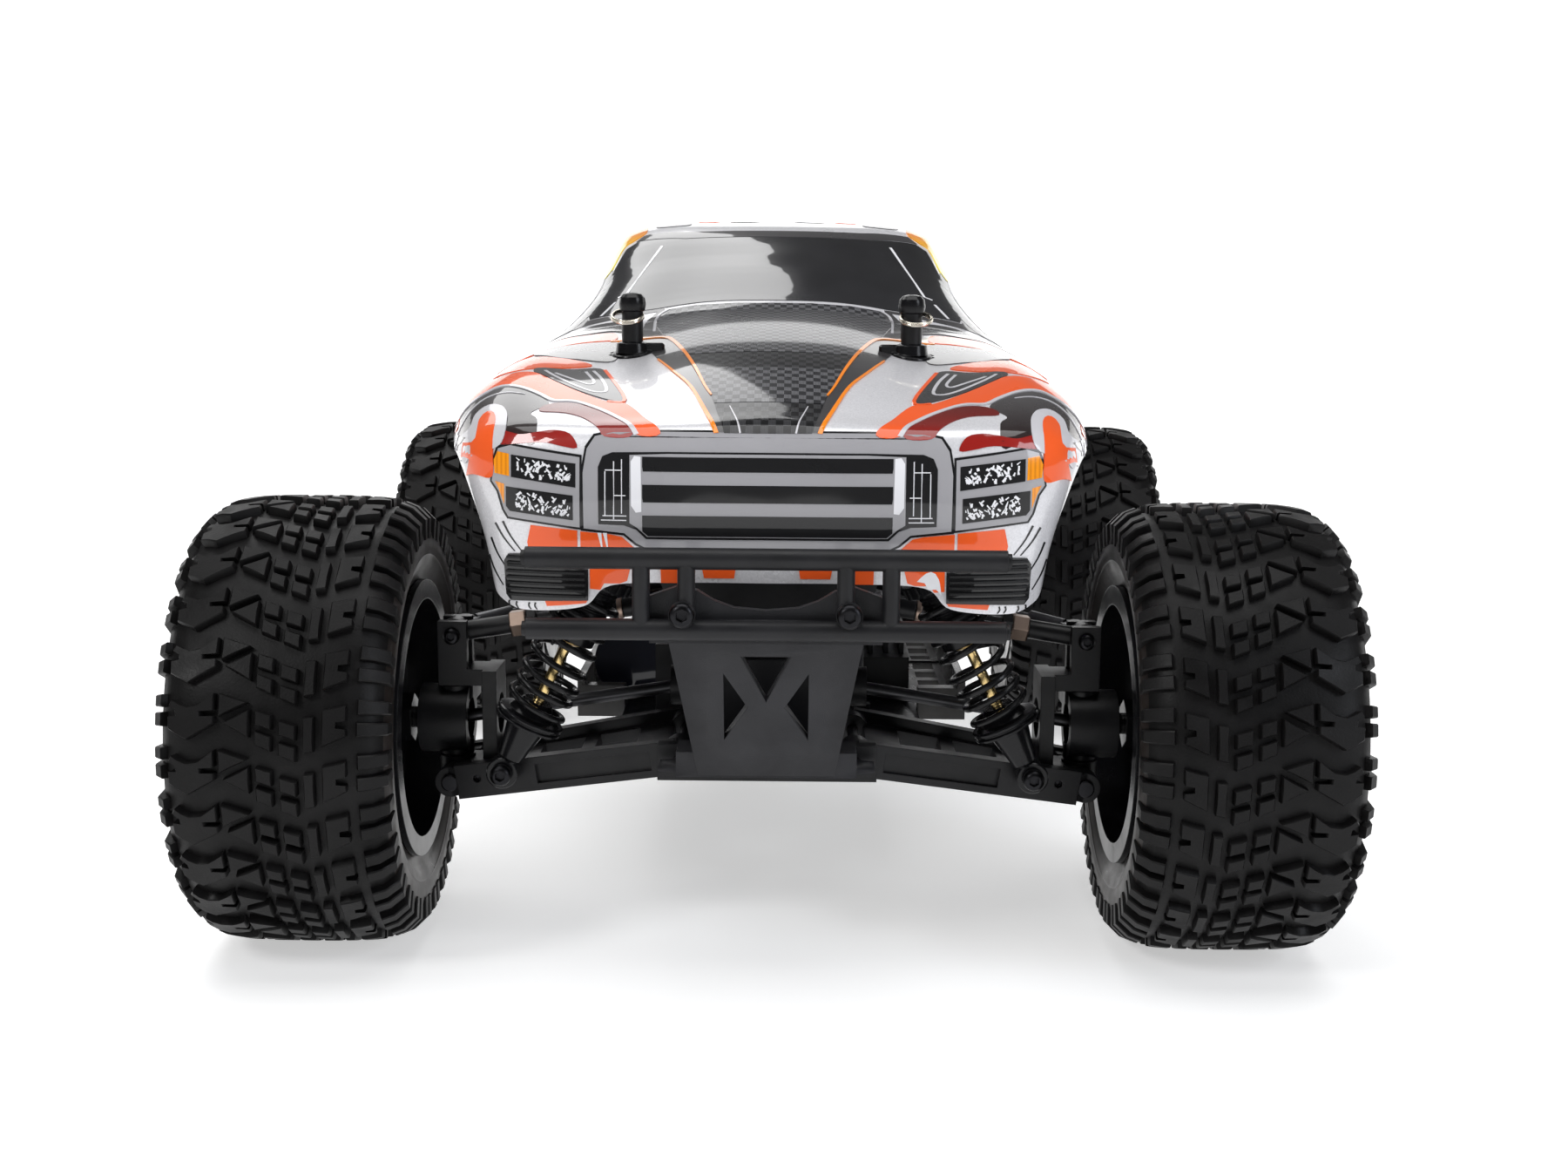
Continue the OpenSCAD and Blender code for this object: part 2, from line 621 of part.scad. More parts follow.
module upper_link() {
    on_link(upper_in_z) difference() {
        union() {
            x_rod(1.9, 4, link_len - 4);
            x_rod(2.7, 3, 17);
            x_rod(2.7, link_len - 18, link_len - 3);
            translate([41.5, 0, 0]) rotate([0, 90, 0]) cylinder(r = 3.3, h = 5, $fn = 6);
            y_rod(4.2, -2.6, 2.6);
            translate([link_len, 0, 0]) y_rod(4.2, -2.6, 2.6);
        }
        y_rod(pin_r + run_gap, -5, 5);
        translate([link_len, 0, 0]) y_rod(pin_r + 0.4, -5, 5);
    }
}

module dogbone() {
    on_link(diff_z) union() {
        x_rod(1.8, 0, link_len);
        sphere(r = 3.3);
        translate([link_len, 0, 0]) sphere(r = 3.3);
    }
}

module shock_body() {
    on_shock() difference() {
        union() {
            y_rod(4.2, -2.6, 2.6);
            translate([0, 0, 3]) cylinder(r = 2.3, h = 4);
            translate([0, 0, 5.5]) cylinder(r = 6.6, h = 5);
            translate([0, 0, 10]) cylinder(r = 6.1, h = 20);
            translate([0, 0, 11]) cylinder(r = 9.2, h = 3.4);
            translate([0, 0, 27]) cylinder(r = 6.6, h = 4.5);
        }
        y_rod(stud_r + run_gap, -5, 5);
        translate([0, 0, 11.5]) cylinder(r = 4.8, h = 16.5);
        translate([0, 0, 27]) cylinder(r = 1.5 + run_gap, h = 6);
    }
}

module shock_rod() {
    on_shock() difference() {
        union() {
            translate([0, 0, 18.2]) cylinder(r = 4.7, h = 3);
            translate([0, 0, 19]) cylinder(r = 1.5, h = shock_len - 22);
            translate([0, 0, spring_to + 1]) cylinder(r = 9.2, h = 2.6);
            translate([0, 0, spring_to + 1]) cylinder(r = 3.6, h = shock_len - spring_to - 7.5);
            translate([0, 0, spring_to + 1]) cylinder(r = 2.3, h = shock_len - spring_to - 4);
            translate([0, 0, shock_len]) y_rod(4.3, -2.6, 2.6);
        }
        translate([0, 0, shock_len]) y_rod(pin_r + loose_gap, -5, 5);
    }
}

// Coil spring as a tube swept along a helix
module coil_spring() {
    sides = 6;
    per_turn = 12;
    steps = spring_turns * per_turn;
    rise = (spring_to - spring_from) / steps;
    lead = atan2(rise * per_turn, 2 * PI * spring_r);
    points = [for (i = [0:steps], k = [0:sides - 1])
        let (turn = 360 * i / per_turn, a = 360 * k / sides,
            out = spring_r + spring_wire_r * cos(a), up = spring_wire_r * sin(a))
        [out * cos(turn) + up * sin(lead) * sin(turn),
            out * sin(turn) - up * sin(lead) * cos(turn),
            spring_from + rise * i + up * cos(lead)]];
    walls = [for (i = [0:steps - 1], k = [0:sides - 1])
        let (a = i * sides + k, b = i * sides + (k + 1) % sides)
        each [[a, b, b + sides], [a, b + sides, a + sides]]];
    polyhedron(points = points, faces = concat(walls,
        [[for (k = [sides - 1:-1:0]) k]], [[for (k = [0:sides - 1]) steps * sides + k]]));
}

module shock_springs() {
    color("#1a1b1d") for (side = [1, -1], end = [1, -1]) corner(side, end) on_shock() coil_spring();
}

// ---------------------------------------------------------------- wheels

module tyre() {
    half = tyre_w / 2;
    crown = tyre_d / 2;
    outer = [[24, crown - 0.2], [14, crown], [0, crown]];
    wall = [[half - 3.8, 36], [half - 3.8, 39.4], [half - 1.9, 41.4], [half - 0.4, 46],
        [half, 51.5], [half - 0.6, crown - 5.5], [half - 3, crown - 2.2]];
    cavity = [[0, crown - 5.5], [19, crown - 5.8], [half - 5.5, crown - 8.5], [half - 3.6, 51],
        [half - 4, 46], [half - 5.8, 41], [half - 6.5, 38.6], [half - 6.5, 36]];
    ring = concat([for (i = [len(cavity) - 1:-1:0]) cavity[i]],
        [for (i = [1:len(cavity) - 1]) [-cavity[i][0], cavity[i][1]]],
        [for (p = wall) [-p[0], p[1]]], [for (p = outer) [-p[0], p[1]]],
        [for (i = [len(outer) - 2:-1:0]) outer[i]], [for (i = [len(wall) - 1:-1:0]) wall[i]]);
    translate([wheel_x, axle_y, axle_z]) rotate([0, 90, 0])
        rotate_extrude($fn = 96) polygon([for (p = ring) [p[1], p[0]]]);
}

// Rim, with the stub axle, hex and nut that turn with it
module rim() {
    half = tyre_w / 2;
    web_x = -16;
    translate([wheel_x, axle_y, axle_z]) union() {
        rotate([0, 90, 0]) rotate_extrude($fn = 96) polygon([[36, 3.6 - half], [39, 3.6 - half],
            [39, 1.8 - half], [33.5, 1.8 - half], [33.5, half - 1.8], [39, half - 1.8],
            [39, half - 3.6], [36, half - 3.6]]);
        difference() {
            x_rod(34, web_x, web_x + 5);
            for (i = [0:5]) rotate([i * 60, 0, 0]) translate([web_x - 1, 0, 0])
                rotate([90, 0, 90]) linear_extrude(7) polygon([[-4.5, 13], [4.5, 13], [11, 26],
                    [8, 29.5], [0, 31], [-8, 29.5], [-11, 26]]);
        }
        x_rod(9, web_x, web_x + 7);
    }
    translate([0, axle_y, axle_z]) difference() {
        union() {
            x_rod(5.4, outer_x - 2.8, outer_x + 5);
            x_rod(3, outer_x + 4, outer_x + 15);
            translate([outer_x + 12, 0, 0]) rotate([0, 90, 0])
                cylinder(r = 6.9, h = wheel_x + web_x - outer_x - 12, $fn = 6);
            x_rod(2, outer_x + 14, wheel_x - 0.5);
            translate([wheel_x + web_x + 7, 0, 0]) rotate([0, 90, 0]) cylinder(r = 4, h = 5, $fn = 6);
        }
        x_rod(4.2, outer_x - 4, outer_x + 3.8);
    }
}

// ---------------------------------------------------------------- steering

module servo_saver() {
    color("#2a2b2e") translate([-inner_x, saver_y, 0]) difference() {
        union() {
            translate([0, 0, link_z - 6.8]) cylinder(r = 7, h = 6.2);
            block([-3.5, 0, link_z - 5], [3.5, steer_arm, link_z - 0.5]);
            translate([0, steer_arm, link_z - 5]) cylinder(r = 3.5, h = 4.5);
            translate([0, steer_arm, link_z - 1]) cylinder(r = pin_r, h = 5);
        }
        translate([0, 0, link_z - 10]) cylinder(r = 2.9 + run_gap, h = 12);
    }
}

module idler_arm() {
    color("#2a2b2e") translate([inner_x, saver_y, 0]) difference() {
        union() {
            translate([0, 0, link_z - 5.3]) cylinder(r = 6, h = 4.8);
            block([-3.5, 0, link_z - 5], [3.5, steer_arm, link_z - 0.5]);
            translate([0, steer_arm, link_z - 5]) cylinder(r = 3.5, h = 4.5);
            translate([0, steer_arm, link_z - 1]) cylinder(r = pin_r, h = 5);
        }
        translate([0, 0, link_z - 10]) cylinder(r = 2 + run_gap, h = 12);
    }
}

module steering_link() {
    color("#b4b7bd") difference() {
        union() {
            block([-tie_inner_x - 4, link_y - 4, link_z], [tie_inner_x + 4, link_y + 4, link_z + 2.6]);
            for (s = [-1, 1]) translate([s * tie_inner_x, link_y, link_z + 2]) cylinder(r = 1.5, h = 9);
        }
        translate([-inner_x, link_y, link_z - 1]) cylinder(r = pin_r + run_gap, h = 5);
        translate([inner_x, link_y, link_z - 1]) cylinder(r = pin_r + 0.3, h = 5);
    }
}

module tie_rod() {
    run_y = knuckle_pin_y - link_y;
    span = norm([tie_span, run_y, tie_drop]);
    difference() {
        union() {
            translate([tie_inner_x, link_y, tie_in_z])
                rotate([0, acos(-tie_drop / span), atan2(run_y, tie_span)]) {
                translate([0, 0, 3.5]) cylinder(r = 1.7, h = span - 7);
                translate([0, 0, 3.5]) cylinder(r = 2.7, h = 11);
                translate([0, 0, span - 14.5]) cylinder(r = 2.7, h = 11);
            }
            translate([tie_inner_x, link_y, tie_in_z - 2.5]) cylinder(r = 4.3, h = 5);
            translate([outer_x, knuckle_pin_y, tie_out_z - 2.5]) cylinder(r = 4.3, h = 5);
        }
        translate([tie_inner_x, link_y, tie_in_z - 6]) cylinder(r = pin_r + loose_gap, h = 12);
        translate([outer_x, knuckle_pin_y, tie_out_z - 6]) cylinder(r = pin_r + loose_gap, h = 12);
    }
}

module tie_rod_left() {
    color("#b4b7bd") tie_rod();
}

module tie_rod_right() {
    color("#b4b7bd") corner(-1, 1) tie_rod();
}

// ---------------------------------------------------------------- drive

// Straight-sided teeth on a toothed wheel that lies along Y
module toothed_wheel(teeth, turn) {
    pitch_r = gear_module * teeth / 2;
    tip_r = pitch_r + 0.85 * gear_module;
    root_r = pitch_r - 1.15 * gear_module;
    step = 360 / teeth;
    outline = [for (i = [0:teeth - 1]) each [
        for (p = [[root_r, -0.3], [tip_r, -0.11], [tip_r, 0.11], [root_r, 0.3]])
            p[0] * [cos(turn + step * (i + p[1])), sin(turn + step * (i + p[1]))]]];
    translate([0, spur_y + gear_w, 0]) rotate([90, 0, 0]) linear_extrude(gear_w) polygon(outline);
}

module center_drive() {
    color("#26272a") translate([0, 0, diff_z]) union() {
        toothed_wheel(spur_teeth, 0);
        y_rod(3, axle_y + 25.5, -axle_y - 25.5);
        y_rod(7, spur_y - 3, spur_y + gear_w + 3);
    }
}

module motor_pinion() {
    color("#c9a24a") translate([gear_gap, 0, diff_z]) difference() {
        union() {
            toothed_wheel(pinion_teeth, 180 + 180 / pinion_teeth);
            y_rod(3.8, spur_y - 3, spur_y + 0.5);
        }
        y_rod(1.6 + run_gap, spur_y - 5, spur_y + gear_w + 2);
    }
}

// ---------------------------------------------------------------- nodes

chassis_plate();
side_guards();
upper_deck();
front_gearbox();
rear_gearbox();
front_shock_tower();
rear_shock_tower();
front_bumper_plate();
front_bumper_bars();
rear_bumper();
battery_pack();
motor();
speed_controller();
steering_servo();
body_posts();
body_shell();
body_clips();
hinge_pins();
shock_springs();
center_drive();
motor_pinion();
servo_saver();
idler_arm();
steering_link();
tie_rod_left();
tie_rod_right();
color("#1f2023") c_hub();  // c_hub_left
color("#1f2023") corner(-1, 1) c_hub();  // c_hub_right
color("#1f2023") corner(1, -1) rear_hub();  // rear_hub_left
color("#1f2023") corner(-1, -1) rear_hub();  // rear_hub_right
color("#1f2023") knuckle();  // knuckle_left
color("#1f2023") corner(-1, 1) knuckle();  // knuckle_right
// Parts that repeat at all four corners
for (end = [["front", 1], ["rear", -1]], side = [["left", 1], ["right", -1]]) {
    place = str("_", end[0], "_", side[0]);
    color("#1f2023") corner(side[1], end[1]) lower_arm();
    color("#1f2023") corner(side[1], end[1]) upper_link();
    color("#1a1b1d") corner(side[1], end[1]) shock_body();
    color("#c7a352") corner(side[1], end[1]) shock_rod();
    color("#8c8f94") corner(side[1], end[1]) dogbone();
    color("#1a1b1d") corner(side[1], end[1]) rim();
    color("#161616") corner(side[1], end[1]) tyre();
}
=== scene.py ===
import json
import math
from random import Random

import bmesh
import bpy
from mathutils import Matrix, Vector
from mathutils.bvhtree import BVHTree
from mathutils.geometry import delaunay_2d_cdt


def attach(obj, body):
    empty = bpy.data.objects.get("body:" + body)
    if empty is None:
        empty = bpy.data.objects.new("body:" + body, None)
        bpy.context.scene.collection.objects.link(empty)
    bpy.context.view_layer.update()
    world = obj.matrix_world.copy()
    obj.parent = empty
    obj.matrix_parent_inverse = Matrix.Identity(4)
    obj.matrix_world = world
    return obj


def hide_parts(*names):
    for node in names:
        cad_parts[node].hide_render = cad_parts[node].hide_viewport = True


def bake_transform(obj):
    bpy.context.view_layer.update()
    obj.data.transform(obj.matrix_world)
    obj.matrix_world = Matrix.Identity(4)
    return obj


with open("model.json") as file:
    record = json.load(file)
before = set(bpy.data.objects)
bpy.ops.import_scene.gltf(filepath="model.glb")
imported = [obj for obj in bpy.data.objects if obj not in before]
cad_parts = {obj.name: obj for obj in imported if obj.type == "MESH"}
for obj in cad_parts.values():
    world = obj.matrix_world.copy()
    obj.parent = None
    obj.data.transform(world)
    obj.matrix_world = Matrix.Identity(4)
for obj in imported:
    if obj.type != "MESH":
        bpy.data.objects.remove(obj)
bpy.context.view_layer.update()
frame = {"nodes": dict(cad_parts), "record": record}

# Lengths below are in millimetres, in the frame of the CAD model: the nose points to -Y and the
# truck's own left side is +X. They become metres when a mesh is made.
MM = 0.001
# How each corner mirrors the front left one, in X and in Y
CORNERS = {"front_left": (1, 1), "front_right": (-1, 1), "rear_left": (1, -1), "rear_right": (-1, -1)}
# Sides of the four body posts, in X and in Y
SIGNS = [(sx, sy) for sx in (1, -1) for sy in (1, -1)]


def placed(name, data):
    """A new object in the scene."""
    made = bpy.data.objects.new(name, data)
    bpy.context.scene.collection.objects.link(made)
    return made


# ------------------------------------------------------------------ camera, floor and light

CAMERA_AT = Vector((6.8, -654.8, 184.7))
CAMERA_YAW, CAMERA_PITCH, CAMERA_ROLL = math.radians(-0.306), math.radians(-9.29), math.radians(-0.475)
SENSOR, LENS = 36, 42.88
CLIP_NEAR, CLIP_FAR = 0.02, 20
WORLD_LIGHT = 0.12
WALL_GLOW = 1.0
# The floor's glow rises from one value to the other between two distances from the object, in metres
FLOOR_GLOW, FAR_GLOW = 0.5, 0.95
GLOW_FROM, GLOW_TO = 0.7, 2.2
RANGE_SOCKETS = ("From Min", "From Max", "To Min", "To Max")
FLOOR_FRONT, FLOOR_BACK, WALL_TOP, STAGE_REACH = -4.0, 2.4, 1.3, 5.0
WHITE, WINDOW_LIGHT = (1, 1, 1), (0.88, 0.92, 1)
# Name, place, aim, size, power and colour of each light, in metres and watts
LIGHTS = [
    ("overhead", (0, -0.35, 1.6), (0, -0.1, 0.1), (1.7, 1.0), 15, WHITE),
    ("left_lamp", (-0.75, -0.95, 0.85), (-0.05, -0.1, 0.12), (0.3, 0.3), 4.8, WHITE),
    ("right_window", (0.95, -0.8, 0.6), (0.05, -0.1, 0.1), (0.4, 0.6), 4.8, WINDOW_LIGHT),
    ("screen_glow", (-0.42, 0.62, 1.1), (0, -0.06, 0.19), (0.85, 0.5), 4.4, WHITE),
]


def make_camera():
    data = bpy.data.cameras.new("camera")
    data.sensor_width, data.lens = SENSOR, LENS
    data.clip_start, data.clip_end = CLIP_NEAR, CLIP_FAR
    camera = placed("camera", data)
    turn = Matrix.Rotation(-CAMERA_YAW, 4, "Z") @ Matrix.Rotation(math.pi / 2 + CAMERA_PITCH, 4, "X")
    roll = Matrix.Rotation(-CAMERA_ROLL, 4, "Z")
    camera.matrix_world = Matrix.Translation(CAMERA_AT * MM) @ turn @ roll
    bpy.context.scene.camera = camera


def area_light(name, at, aim, size, power, colour):
    data = bpy.data.lights.new(name, "AREA")
    data.shape, data.size, data.size_y = "RECTANGLE", size[0], size[1]
    data.energy, data.color = power, colour
    light = placed(name, data)
    light.location = Vector(at)
    light.rotation_euler = (Vector(aim) - Vector(at)).to_track_quat("-Z", "Y").to_euler()


def plain_material(name, grey, glow):
    """Matt paper of one grey, which glows white."""
    made = bpy.data.materials.new(name)
    made.use_nodes = True
    inputs = made.node_tree.nodes["Principled BSDF"].inputs
    inputs["Base Color"].default_value = (grey, grey, grey, 1)
    inputs["Roughness"].default_value = 0.7
    inputs["Emission Color"].default_value = (*WHITE, 1)
    inputs["Emission Strength"].default_value = glow
    return made


def brighten_far(material):
    """Lets the floor glow more away from the object, so that it stays an even white there."""
    tree = material.node_tree
    place = tree.nodes.new("ShaderNodeTexCoord")
    far = tree.nodes.new("ShaderNodeVectorMath")
    far.operation = "LENGTH"
    glow = tree.nodes.new("ShaderNodeMapRange")
    for socket, value in zip(RANGE_SOCKETS, (GLOW_FROM, GLOW_TO, FLOOR_GLOW, FAR_GLOW)):
        glow.inputs[socket].default_value = value
    tree.links.new(place.outputs["Object"], far.inputs[0])
    tree.links.new(far.outputs["Value"], glow.inputs["Value"])
    tree.links.new(glow.outputs["Result"], tree.nodes["Principled BSDF"].inputs["Emission Strength"])


def stage_strip(name, near, far, material):
    """A sheet across the view, between two edges whose (y, z) are in metres."""
    mesh = bpy.data.meshes.new(name)
    points = [(x, *edge) for edge in (near, far) for x in (-STAGE_REACH, STAGE_REACH)]
    mesh.from_pydata(points, [], [(0, 1, 3, 2)])
    mesh.materials.append(material)
    mesh.shade_smooth()
    return placed(name, mesh)


def make_studio():
    world = bpy.data.worlds.new("studio")
    world.use_nodes = True
    tree = world.node_tree
    background = tree.nodes["Background"]
    background.inputs["Color"].default_value = (*WHITE, 1)
    path = tree.nodes.new("ShaderNodeLightPath")
    shine = tree.nodes.new("ShaderNodeMapRange")
    shine.inputs["To Min"].default_value = WORLD_LIGHT
    shine.inputs["To Max"].default_value = 1.0
    tree.links.new(path.outputs["Is Camera Ray"], shine.inputs["Value"])
    tree.links.new(shine.outputs["Result"], background.inputs["Strength"])
    bpy.context.scene.world = world
    bpy.context.scene.view_settings.view_transform = "Standard"

    paper = plain_material("floor", 0.8, FLOOR_GLOW)
    brighten_far(paper)
    floor = stage_strip("floor", (FLOOR_FRONT, 0), (FLOOR_BACK, 0), paper)
    backing = plain_material("wall", 0.9, WALL_GLOW)
    wall = stage_strip("wall", (FLOOR_BACK, 0), (FLOOR_BACK, WALL_TOP), backing)
    for light in LIGHTS:
        area_light(*light)


make_camera()
make_studio()

# ------------------------------------------------------------------ materials

EDGE_ROUND = 0.0004            # radius of the round that sharp edges are shaded with, in metres


def scaled(colour, share):
    return [min(1, c * share) for c in colour]


class Finish:
    """A node material built round one Principled shader. Scales are per metre."""

    def __init__(self, name, colour, roughness, **sockets):
        self.material = bpy.data.materials.new(name)
        self.material.use_nodes = True
        self.tree = self.material.node_tree
        self.shader = self.tree.nodes["Principled BSDF"]
        self.place = self.node("TexCoord").outputs["Object"]
        self.relief = None
        self.fill(self.shader, {"Base Color": (*colour, 1), "Roughness": roughness})
        self.fill(self.shader, {socket.replace("_", " "): value for socket, value in sockets.items()})

    def fill(self, node, sockets):
        """Gives each socket of a node its value, or links another node's output to it."""
        for socket, value in sockets.items():
            if isinstance(value, bpy.types.NodeSocket):
                self.tree.links.new(value, node.inputs[socket])
            else:
                node.inputs[socket].default_value = value

    def node(self, kind, sockets=None, **settings):
        made = self.tree.nodes.new("ShaderNode" + kind)
        for key, value in settings.items():
            setattr(made, key, value)
        self.fill(made, sockets or {})
        return made

    def soften(self):
        """Shades sharp edges as if they had a small round."""
        self.relief = self.node("Bevel", {"Radius": EDGE_ROUND}, samples=4).outputs["Normal"]
        return self

    def noise(self, scale, detail=3.0):
        sockets = {"Scale": scale, "Detail": detail, "Roughness": 0.55, "Vector": self.place}
        return self.node("TexNoise", sockets).outputs["Fac"]

    def mapped(self, value, low, high, start=0.3, stop=0.7):
        sockets = dict(zip(RANGE_SOCKETS, (start, stop, low, high)))
        return self.node("MapRange", {**sockets, "Value": value}).outputs["Result"]

    def math(self, operation, *values):
        return self.node("Math", dict(enumerate(values)), operation=operation).outputs[0]

    def ramp(self, value, stops):
        made = self.node("ValToRGB")
        ramp = made.color_ramp
        while len(ramp.elements) < len(stops):
            ramp.elements.new(0.5)
        for element, (position, colour) in zip(ramp.elements, stops):
            element.position = position
            element.color = (*colour, 1)
        self.fill(made, {"Fac": value})
        return made.outputs["Color"]

    def axis(self, name):
        return self.node("SeparateXYZ", {"Vector": self.place}).outputs[name]

    def tint(self, value, stops):
        """Colours the surface by a ramp over a value."""
        self.fill(self.shader, {"Base Color": self.ramp(value, stops)})
        return self

    def vary(self, colour, scale, share):
        """Cloudy light and dark patches of one colour."""
        stops = [(0.35, scaled(colour, 1 - share)), (0.65, scaled(colour, 1 + share))]
        return self.tint(self.noise(scale), stops)

    def sheen_map(self, scale, low, high):
        """Roughness that changes from low to high over the surface."""
        self.fill(self.shader, {"Roughness": self.mapped(self.noise(scale, 4), low, high)})
        return self

    def bump(self, value, depth, strength=1.0):
        """Adds relief of that depth, in metres, on top of any relief already there."""
        sockets = {"Strength": strength, "Distance": depth, "Height": value}
        if self.relief:
            sockets["Normal"] = self.relief
        self.relief = self.node("Bump", sockets).outputs["Normal"]
        self.fill(self.shader, {"Normal": self.relief})
        return self

    def orange_peel(self):
        """The slight waviness of a sprayed or printed skin."""
        return self.bump(self.noise(220, 1), 0.00002)


def moulded(name, colour, roughness, grain=2500, depth=0.00003, **sockets):
    """Black moulded plastic: fine grain, with cloudy gloss from handling."""
    made = Finish(name, colour, roughness, **{"Specular_IOR_Level": 0.26, **sockets})
    made.soften().vary(colour, 60, 0.2).sheen_map(90, roughness - 0.06, roughness + 0.08)
    return made.bump(made.noise(grain, 2), depth).material


def metal(name, colour, roughness):
    """Plain metal with fine relief and slightly uneven gloss."""
    made = Finish(name, colour, roughness, Metallic=1.0)
    made.soften().vary(colour, 150, 0.08).sheen_map(400, roughness - 0.05, roughness + 0.07)
    return made.bump(made.noise(2000, 2), 0.00001).material


def brushed(name, colour, roughness):
    """Metal with fine lines along Y."""
    made = Finish(name, colour, roughness, Metallic=1.0)
    made.place = made.node("Mapping", {"Scale": (1, 0.03, 1), "Vector": made.place}).outputs["Vector"]
    made.vary(colour, 3000, 0.12).sheen_map(2500, roughness - 0.05, roughness + 0.08)
    return made.bump(made.noise(4000, 1), 0.000008).material


def paint(name, colour, flake=0.0, roughness=0.28, share=0.04):
    """Printed or sprayed colour under a clear gloss skin, with slight orange peel."""
    made = Finish(name, colour, roughness, Coat_Weight=1.0, Coat_Roughness=0.04, Coat_IOR=1.45,
                  Specular_IOR_Level=0.1, Metallic=flake)
    if flake:
        sparkle = made.node("TexVoronoi", {"Scale": 2600, "Vector": made.place}).outputs["Color"]
        grey = made.node("RGBToBW", {"Color": sparkle}).outputs["Val"]
        made.tint(grey, [(0.2, scaled(colour, 0.94)), (0.8, scaled(colour, 1.05))])
    else:
        made.vary(colour, 35, share)
    return made.sheen_map(70, roughness - 0.015, roughness + 0.02).orange_peel().material


def faded_paint(name, axis, low, high, colours):
    """Printed colour that runs through several colours along one axis, from low to high in mm."""
    made = Finish(name, colours[0], 0.28, Coat_Weight=1.0, Coat_Roughness=0.04, Specular_IOR_Level=0.1)
    along = made.mapped(made.axis(axis), 0, 1, low * MM, high * MM)
    ragged = made.math("ADD", along, made.math("MULTIPLY", made.noise(260, 4), 0.12))
    made.tint(ragged, [(i / (len(colours) - 1), c) for i, c in enumerate(colours)])
    return made.sheen_map(70, 0.24, 0.33).orange_peel().material


def carbon_weave(name, light=1.0):
    """Printed two-by-two weave: cells of threads that run one way or the other. A light above 1 makes a
    lighter copy, which is painted reflection of the hood's creases.
    """
    cell = 1.9
    made = Finish(name, (0.02, 0.02, 0.022), 0.3, Coat_Weight=0.8, Coat_Roughness=0.06, Coat_IOR=1.4,
                  Specular_IOR_Level=0.05)
    across = made.math("DIVIDE", made.axis("X"), cell * MM)
    along = made.math("DIVIDE", made.axis("Y"), cell * 1.15 * MM)
    cell_sum = made.math("ADD", made.math("FLOOR", across), made.math("FLOOR", along))
    parity = made.math("ABSOLUTE", made.math("MODULO", cell_sum, 2))
    waves = made.math("ABSOLUTE", made.math("SINE", made.math("MULTIPLY", across, 18.8)))
    threads = made.math("MULTIPLY", waves, parity)
    woven = made.math("ADD", made.math("MULTIPLY", parity, 0.45), made.math("MULTIPLY", threads, 0.35))
    fleck = made.math("ADD", woven, made.math("MULTIPLY", made.noise(900, 2), 0.2))
    stops = [(0.1, (0.007, 0.007, 0.008)), (0.55, (0.014, 0.014, 0.015)), (1.0, (0.06, 0.06, 0.064))]
    made.tint(fleck, [(position, scaled(colour, light)) for position, colour in stops])
    return made.sheen_map(70, 0.24, 0.34).orange_peel().material


def tyre_material():
    """Carbon-black rubber of the tread and the shoulders."""
    colour = (0.0045, 0.0042, 0.0043)
    made = Finish("tyre_rubber", colour, 0.46, Specular_IOR_Level=0.18)
    made.vary(colour, 45, 0.3).sheen_map(110, 0.36, 0.56)
    return made.bump(made.noise(1500, 3), 0.00005).bump(made.noise(120, 2), 0.0001, 0.6).material


def sidewall_material():
    """Browner and glossier rubber of the sidewalls."""
    colour = (0.016, 0.0125, 0.011)
    made = Finish("tyre_sidewall", colour, 0.34, Specular_IOR_Level=0.3)
    made.vary(colour, 60, 0.3).sheen_map(90, 0.27, 0.45)
    return made.bump(made.noise(900, 3), 0.00003).material


def glass_tint():
    """Window tint: near black with a faint lighter haze, under a clear gloss skin."""
    made = Finish("window_tint", (0.012, 0.012, 0.014), 0.12, Coat_Weight=1.0, Coat_Roughness=0.03,
                  Specular_IOR_Level=0.1)
    made.vary((0.013, 0.013, 0.015), 20, 0.5).sheen_map(40, 0.1, 0.18)
    made.bump(made.noise(160, 1), 0.00001)
    return made.material


def lens(name, colour):
    """Lamp print: flutes of lighter and darker colour under gloss."""
    made = Finish(name, colour, 0.15, Coat_Weight=1.0, Coat_Roughness=0.02)
    flutes = made.math("ABSOLUTE", made.math("SINE", made.math("MULTIPLY", made.axis("X"), 2600)))
    made.tint(flutes, [(0.0, scaled(colour, 0.7)), (1.0, scaled(colour, 1.15))])
    return made.bump(flutes, 0.00002, 0.15).material


# Colour and roughness of each finish, then the scale and depth of its grain where it has its own
MOULDED = {
    "black_plastic": ((0.008, 0.008, 0.009), 0.36),
    "bumper_black": ((0.012, 0.012, 0.0135), 0.38, 3200, 0.00004),
    "bumper_sheet": ((0.02, 0.02, 0.0225), 0.48, 3600, 0.00007),
    "guard_smoke": ((0.055, 0.053, 0.052), 0.3, 1800, 0.00002),
    "spring_black": ((0.006, 0.006, 0.0065), 0.22, 2500, 0.00001),
    "shock_black": ((0.006, 0.006, 0.007), 0.2, 2500, 0.00001),
    "rim_black": ((0.006, 0.006, 0.007), 0.2, 2500, 0.00001),
}
METALS = {
    "chassis_alloy": ((0.07, 0.072, 0.076), 0.42),
    "link_alloy": ((0.1, 0.1, 0.105), 0.35),
    "dark_steel": ((0.05, 0.05, 0.053), 0.34),
    "purple_alloy": ((0.2, 0.045, 0.42), 0.3),
    "bright_steel": ((0.68, 0.69, 0.71), 0.2),
    "ring_steel": ((0.75, 0.7, 0.6), 0.18),
    "brass": ((0.72, 0.5, 0.22), 0.28),
    "copper": ((0.36, 0.27, 0.22), 0.36),
    "gold_steel": ((0.78, 0.58, 0.26), 0.2),
    "screw_black": ((0.022, 0.022, 0.024), 0.32),
}
